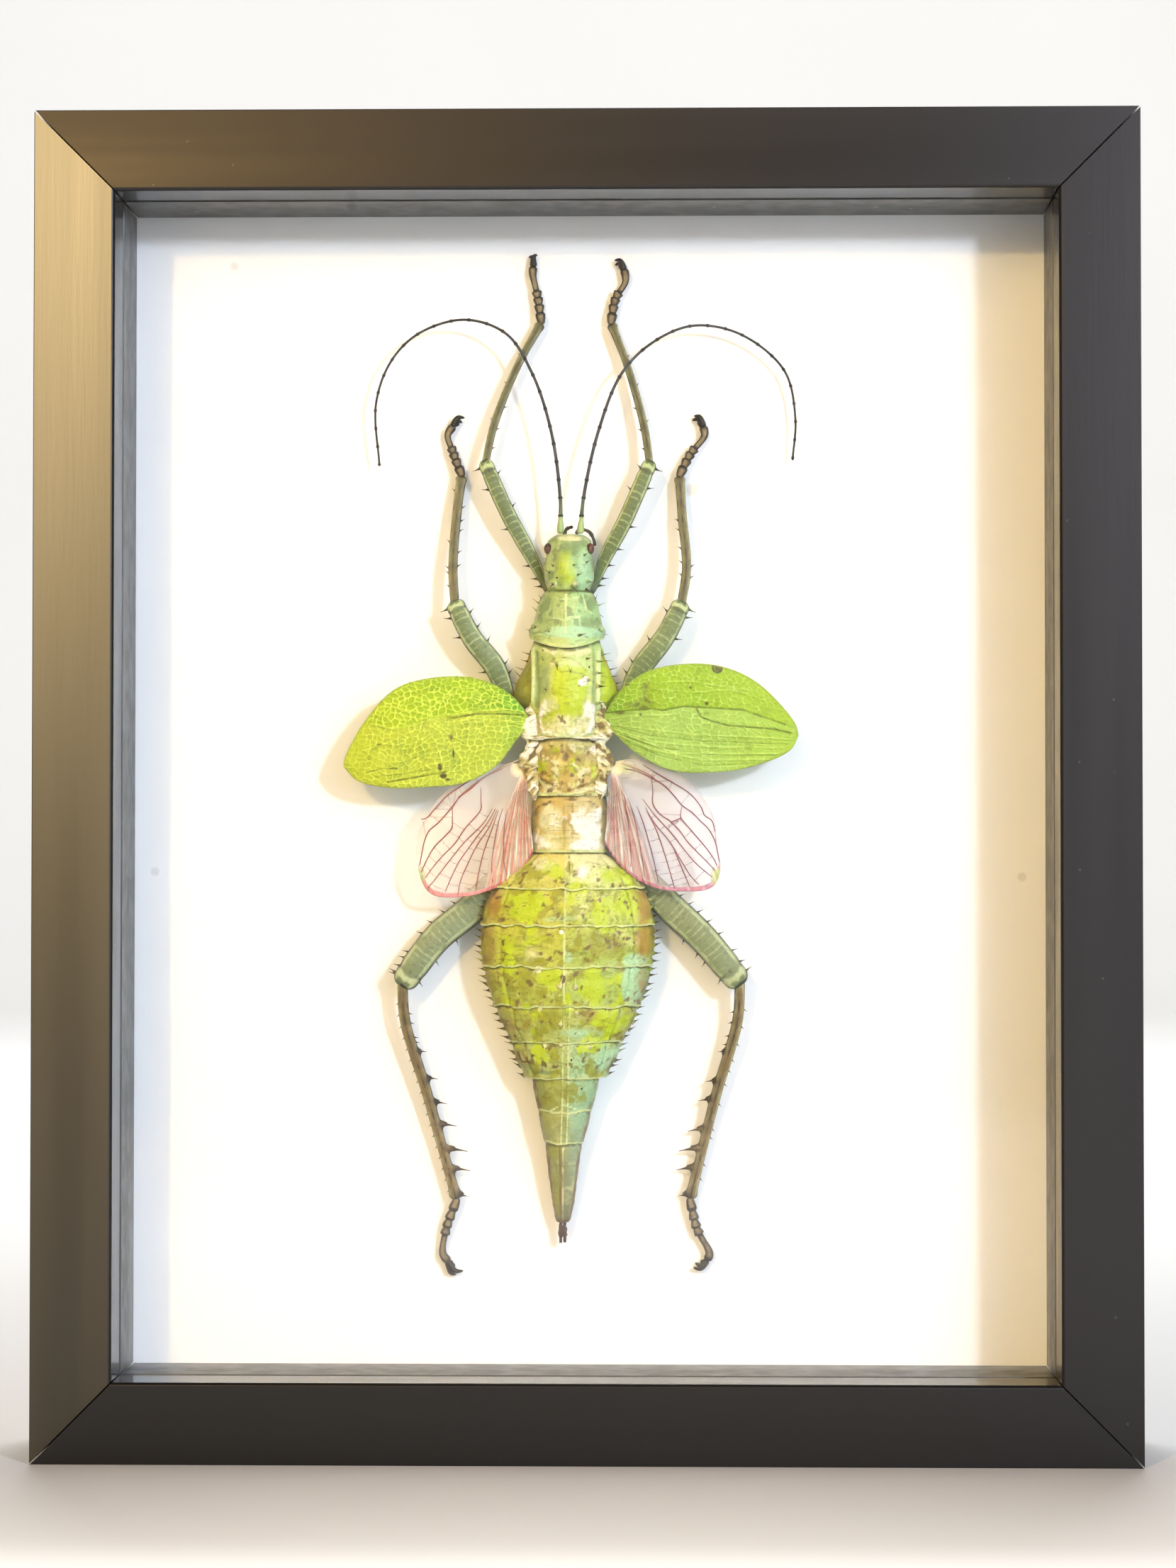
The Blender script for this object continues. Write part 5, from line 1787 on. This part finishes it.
def vein_on(surface, sign, girth, line):
    """A stiff vein just off the membrane, slim at its root. A stout one is pale and turns dark at its tip."""
    lifted = []
    for x, z in line:
        flat_spot = spots_at(np.float64(sign * x), np.float64(z), np.float64(0))
        near = surface[np.argmin(np.hypot(surface[:, 0] - flat_spot[0], surface[:, 2] - flat_spot[2]))]
        lifted.append((sign * x, z, (WAIST.y - near[1]) * 1000 + 0.2))
    stout = girth > STOUT_VEIN

    def width(run):
        return 0.75 * girth * (1 - 0.4 * run) * (0.3 + 0.7 * eased(run, 0, 0.3)) + 0.02

    def skin(run, angle, mm):
        return 0, {"edge": 1 - 0.6 * stout * (1 - 0.5 * run), "cream": 0.8 * stout}
    return limb("vein", lifted, LIMB_GRIDS["vein"], width, skin, 0.8, 2.0)


for side, sign in SIDES.items():
    fan = blade_grid("hind_wing_" + side, FAN_ACROSS, FAN_ALONG, hind_wing_place(side, sign))
    surface = np.array([tuple(v.co) for v in fan.data.vertices])
    veins = [vein_on(surface, sign, girth, line) for girth, line in HIND_WINGS[side]["veins"]]
    thickened(fan, FAN_THICK)
    fan = joined([fan, *veins], "hind_wing_" + side)
    settle(fan, MEMBRANES[side], "hind_wing", "hindwing_" + side)


# ---- Room ----
# A pale floor sweeps up into a pale wall all round. The lamps are a small warm
# one to the left, a cool one to the right, soft ones for the wall and the floor,
# and one for the sheen on the left rail. The camera stands in front.

def plaster():
    material, tree, shader, spots = new_finish("pale_plaster", specular_ior_level=0.2)
    ground = mixed(tree, cloud(tree, spots, 3.0), (226, 225, 223), (232, 231, 229))
    finish(tree, shader, ground, 0.9, cloud(tree, spots, 90.0), 0.05, 0.001)
    return material


FLOOR_RADIUS = 2.2
# How far each ring of the sweep rises above the last, and how much wider it is.
SWEEP = ((0.0, 1.25), (0.06, 1.08), (0.16, 1.06), (0.3, 1.04), (0.5, 1.015), (1.2, 1.0))

bpy.ops.object.select_all(action="DESELECT")
bpy.ops.mesh.primitive_circle_add(vertices=96, radius=FLOOR_RADIUS, fill_type="NGON", location=(0, 0, 0))
room = bpy.context.object
room.name = "room"
bpy.ops.object.mode_set(mode="EDIT")
bpy.ops.mesh.select_all(action="SELECT")
for rise, spread in SWEEP:
    bpy.ops.mesh.extrude_region_move(TRANSFORM_OT_translate={"value": (0, 0, rise)})
    bpy.ops.transform.resize(value=(spread, spread, 1), center_override=(0, 0, 0))
bpy.ops.mesh.delete(type="ONLY_FACE")
bpy.ops.object.mode_set(mode="OBJECT")
dress(room, plaster())
bpy.ops.object.shade_smooth()

world = bpy.data.worlds.new("room_light")
bpy.context.scene.world = world
world.use_nodes = True
background = world.node_tree.nodes["Background"].inputs
background["Color"].default_value = (0.95, 0.97, 1.0, 1)
background["Strength"].default_value = 0.08


def lamp(name, place, size, power, colour, aim=OPENING_MIDDLE):
    bpy.ops.object.light_add(type="AREA", location=place)
    made = bpy.context.object
    made.name = name
    made.data.shape = "DISK"
    made.data.size = size
    made.data.energy = power
    made.data.color = colour
    made.rotation_euler = (aim - Vector(place)).to_track_quat("-Z", "Y").to_euler()
    return made


lamp("warm_lamp", (-0.34, -1.05, 0.52), 0.04, 4.5, (1.0, 0.62, 0.23))
lamp("cool_lamp", (0.57, -1.08, 0.44), 0.09, 7.8, (0.88, 0.885, 0.99))
lamp("wall_lamp", (0.0, 0.7, 2.0), 0.8, 72.0, (0.98, 0.99, 1.0), Vector((0, 2.6, 0.2)))
floor_lamp = lamp("floor_lamp", (0.0, -0.36, 0.34), 0.6, 0.8, (1.0, 0.97, 0.93), Vector((0.0, -0.40, 0.0)))
floor_lamp.data.spread = 1.0
floor_lamp.visible_camera = False
floor_lamp.visible_glossy = False
# The sheen lamp, far to the left, lights the left rail alone, and only as a reflection.
sheen_lamp = lamp("sheen_lamp", (-0.484, -1.05, 0.509), 0.10, 30.0, (1.0, 0.74, 0.36))
lit_by_sheen = bpy.data.collections.new("lit_by_sheen_lamp")
lit_by_sheen.objects.link(bpy.data.objects["rail_left"])
sheen_lamp.light_linking.receiver_collection = lit_by_sheen
sheen_lamp.visible_diffuse = False

bpy.ops.object.camera_add(location=(0.018932, -0.818286, 0.121180))
camera = bpy.context.object
forward = Vector((-0.02308, 0.99941, 0.02526)).normalized()
upward = Vector((0.00021, -0.02527, 0.99968))
rightward = forward.cross(upward).normalized()
upward = rightward.cross(forward)
camera.rotation_euler = Matrix((rightward, upward, -forward)).transposed().to_euler()
camera.data.sensor_width = 36.0
camera.data.lens = 87.97
camera.data.clip_start = 0.01
bpy.context.scene.camera = camera
bpy.context.scene.view_settings.view_transform = "Standard"
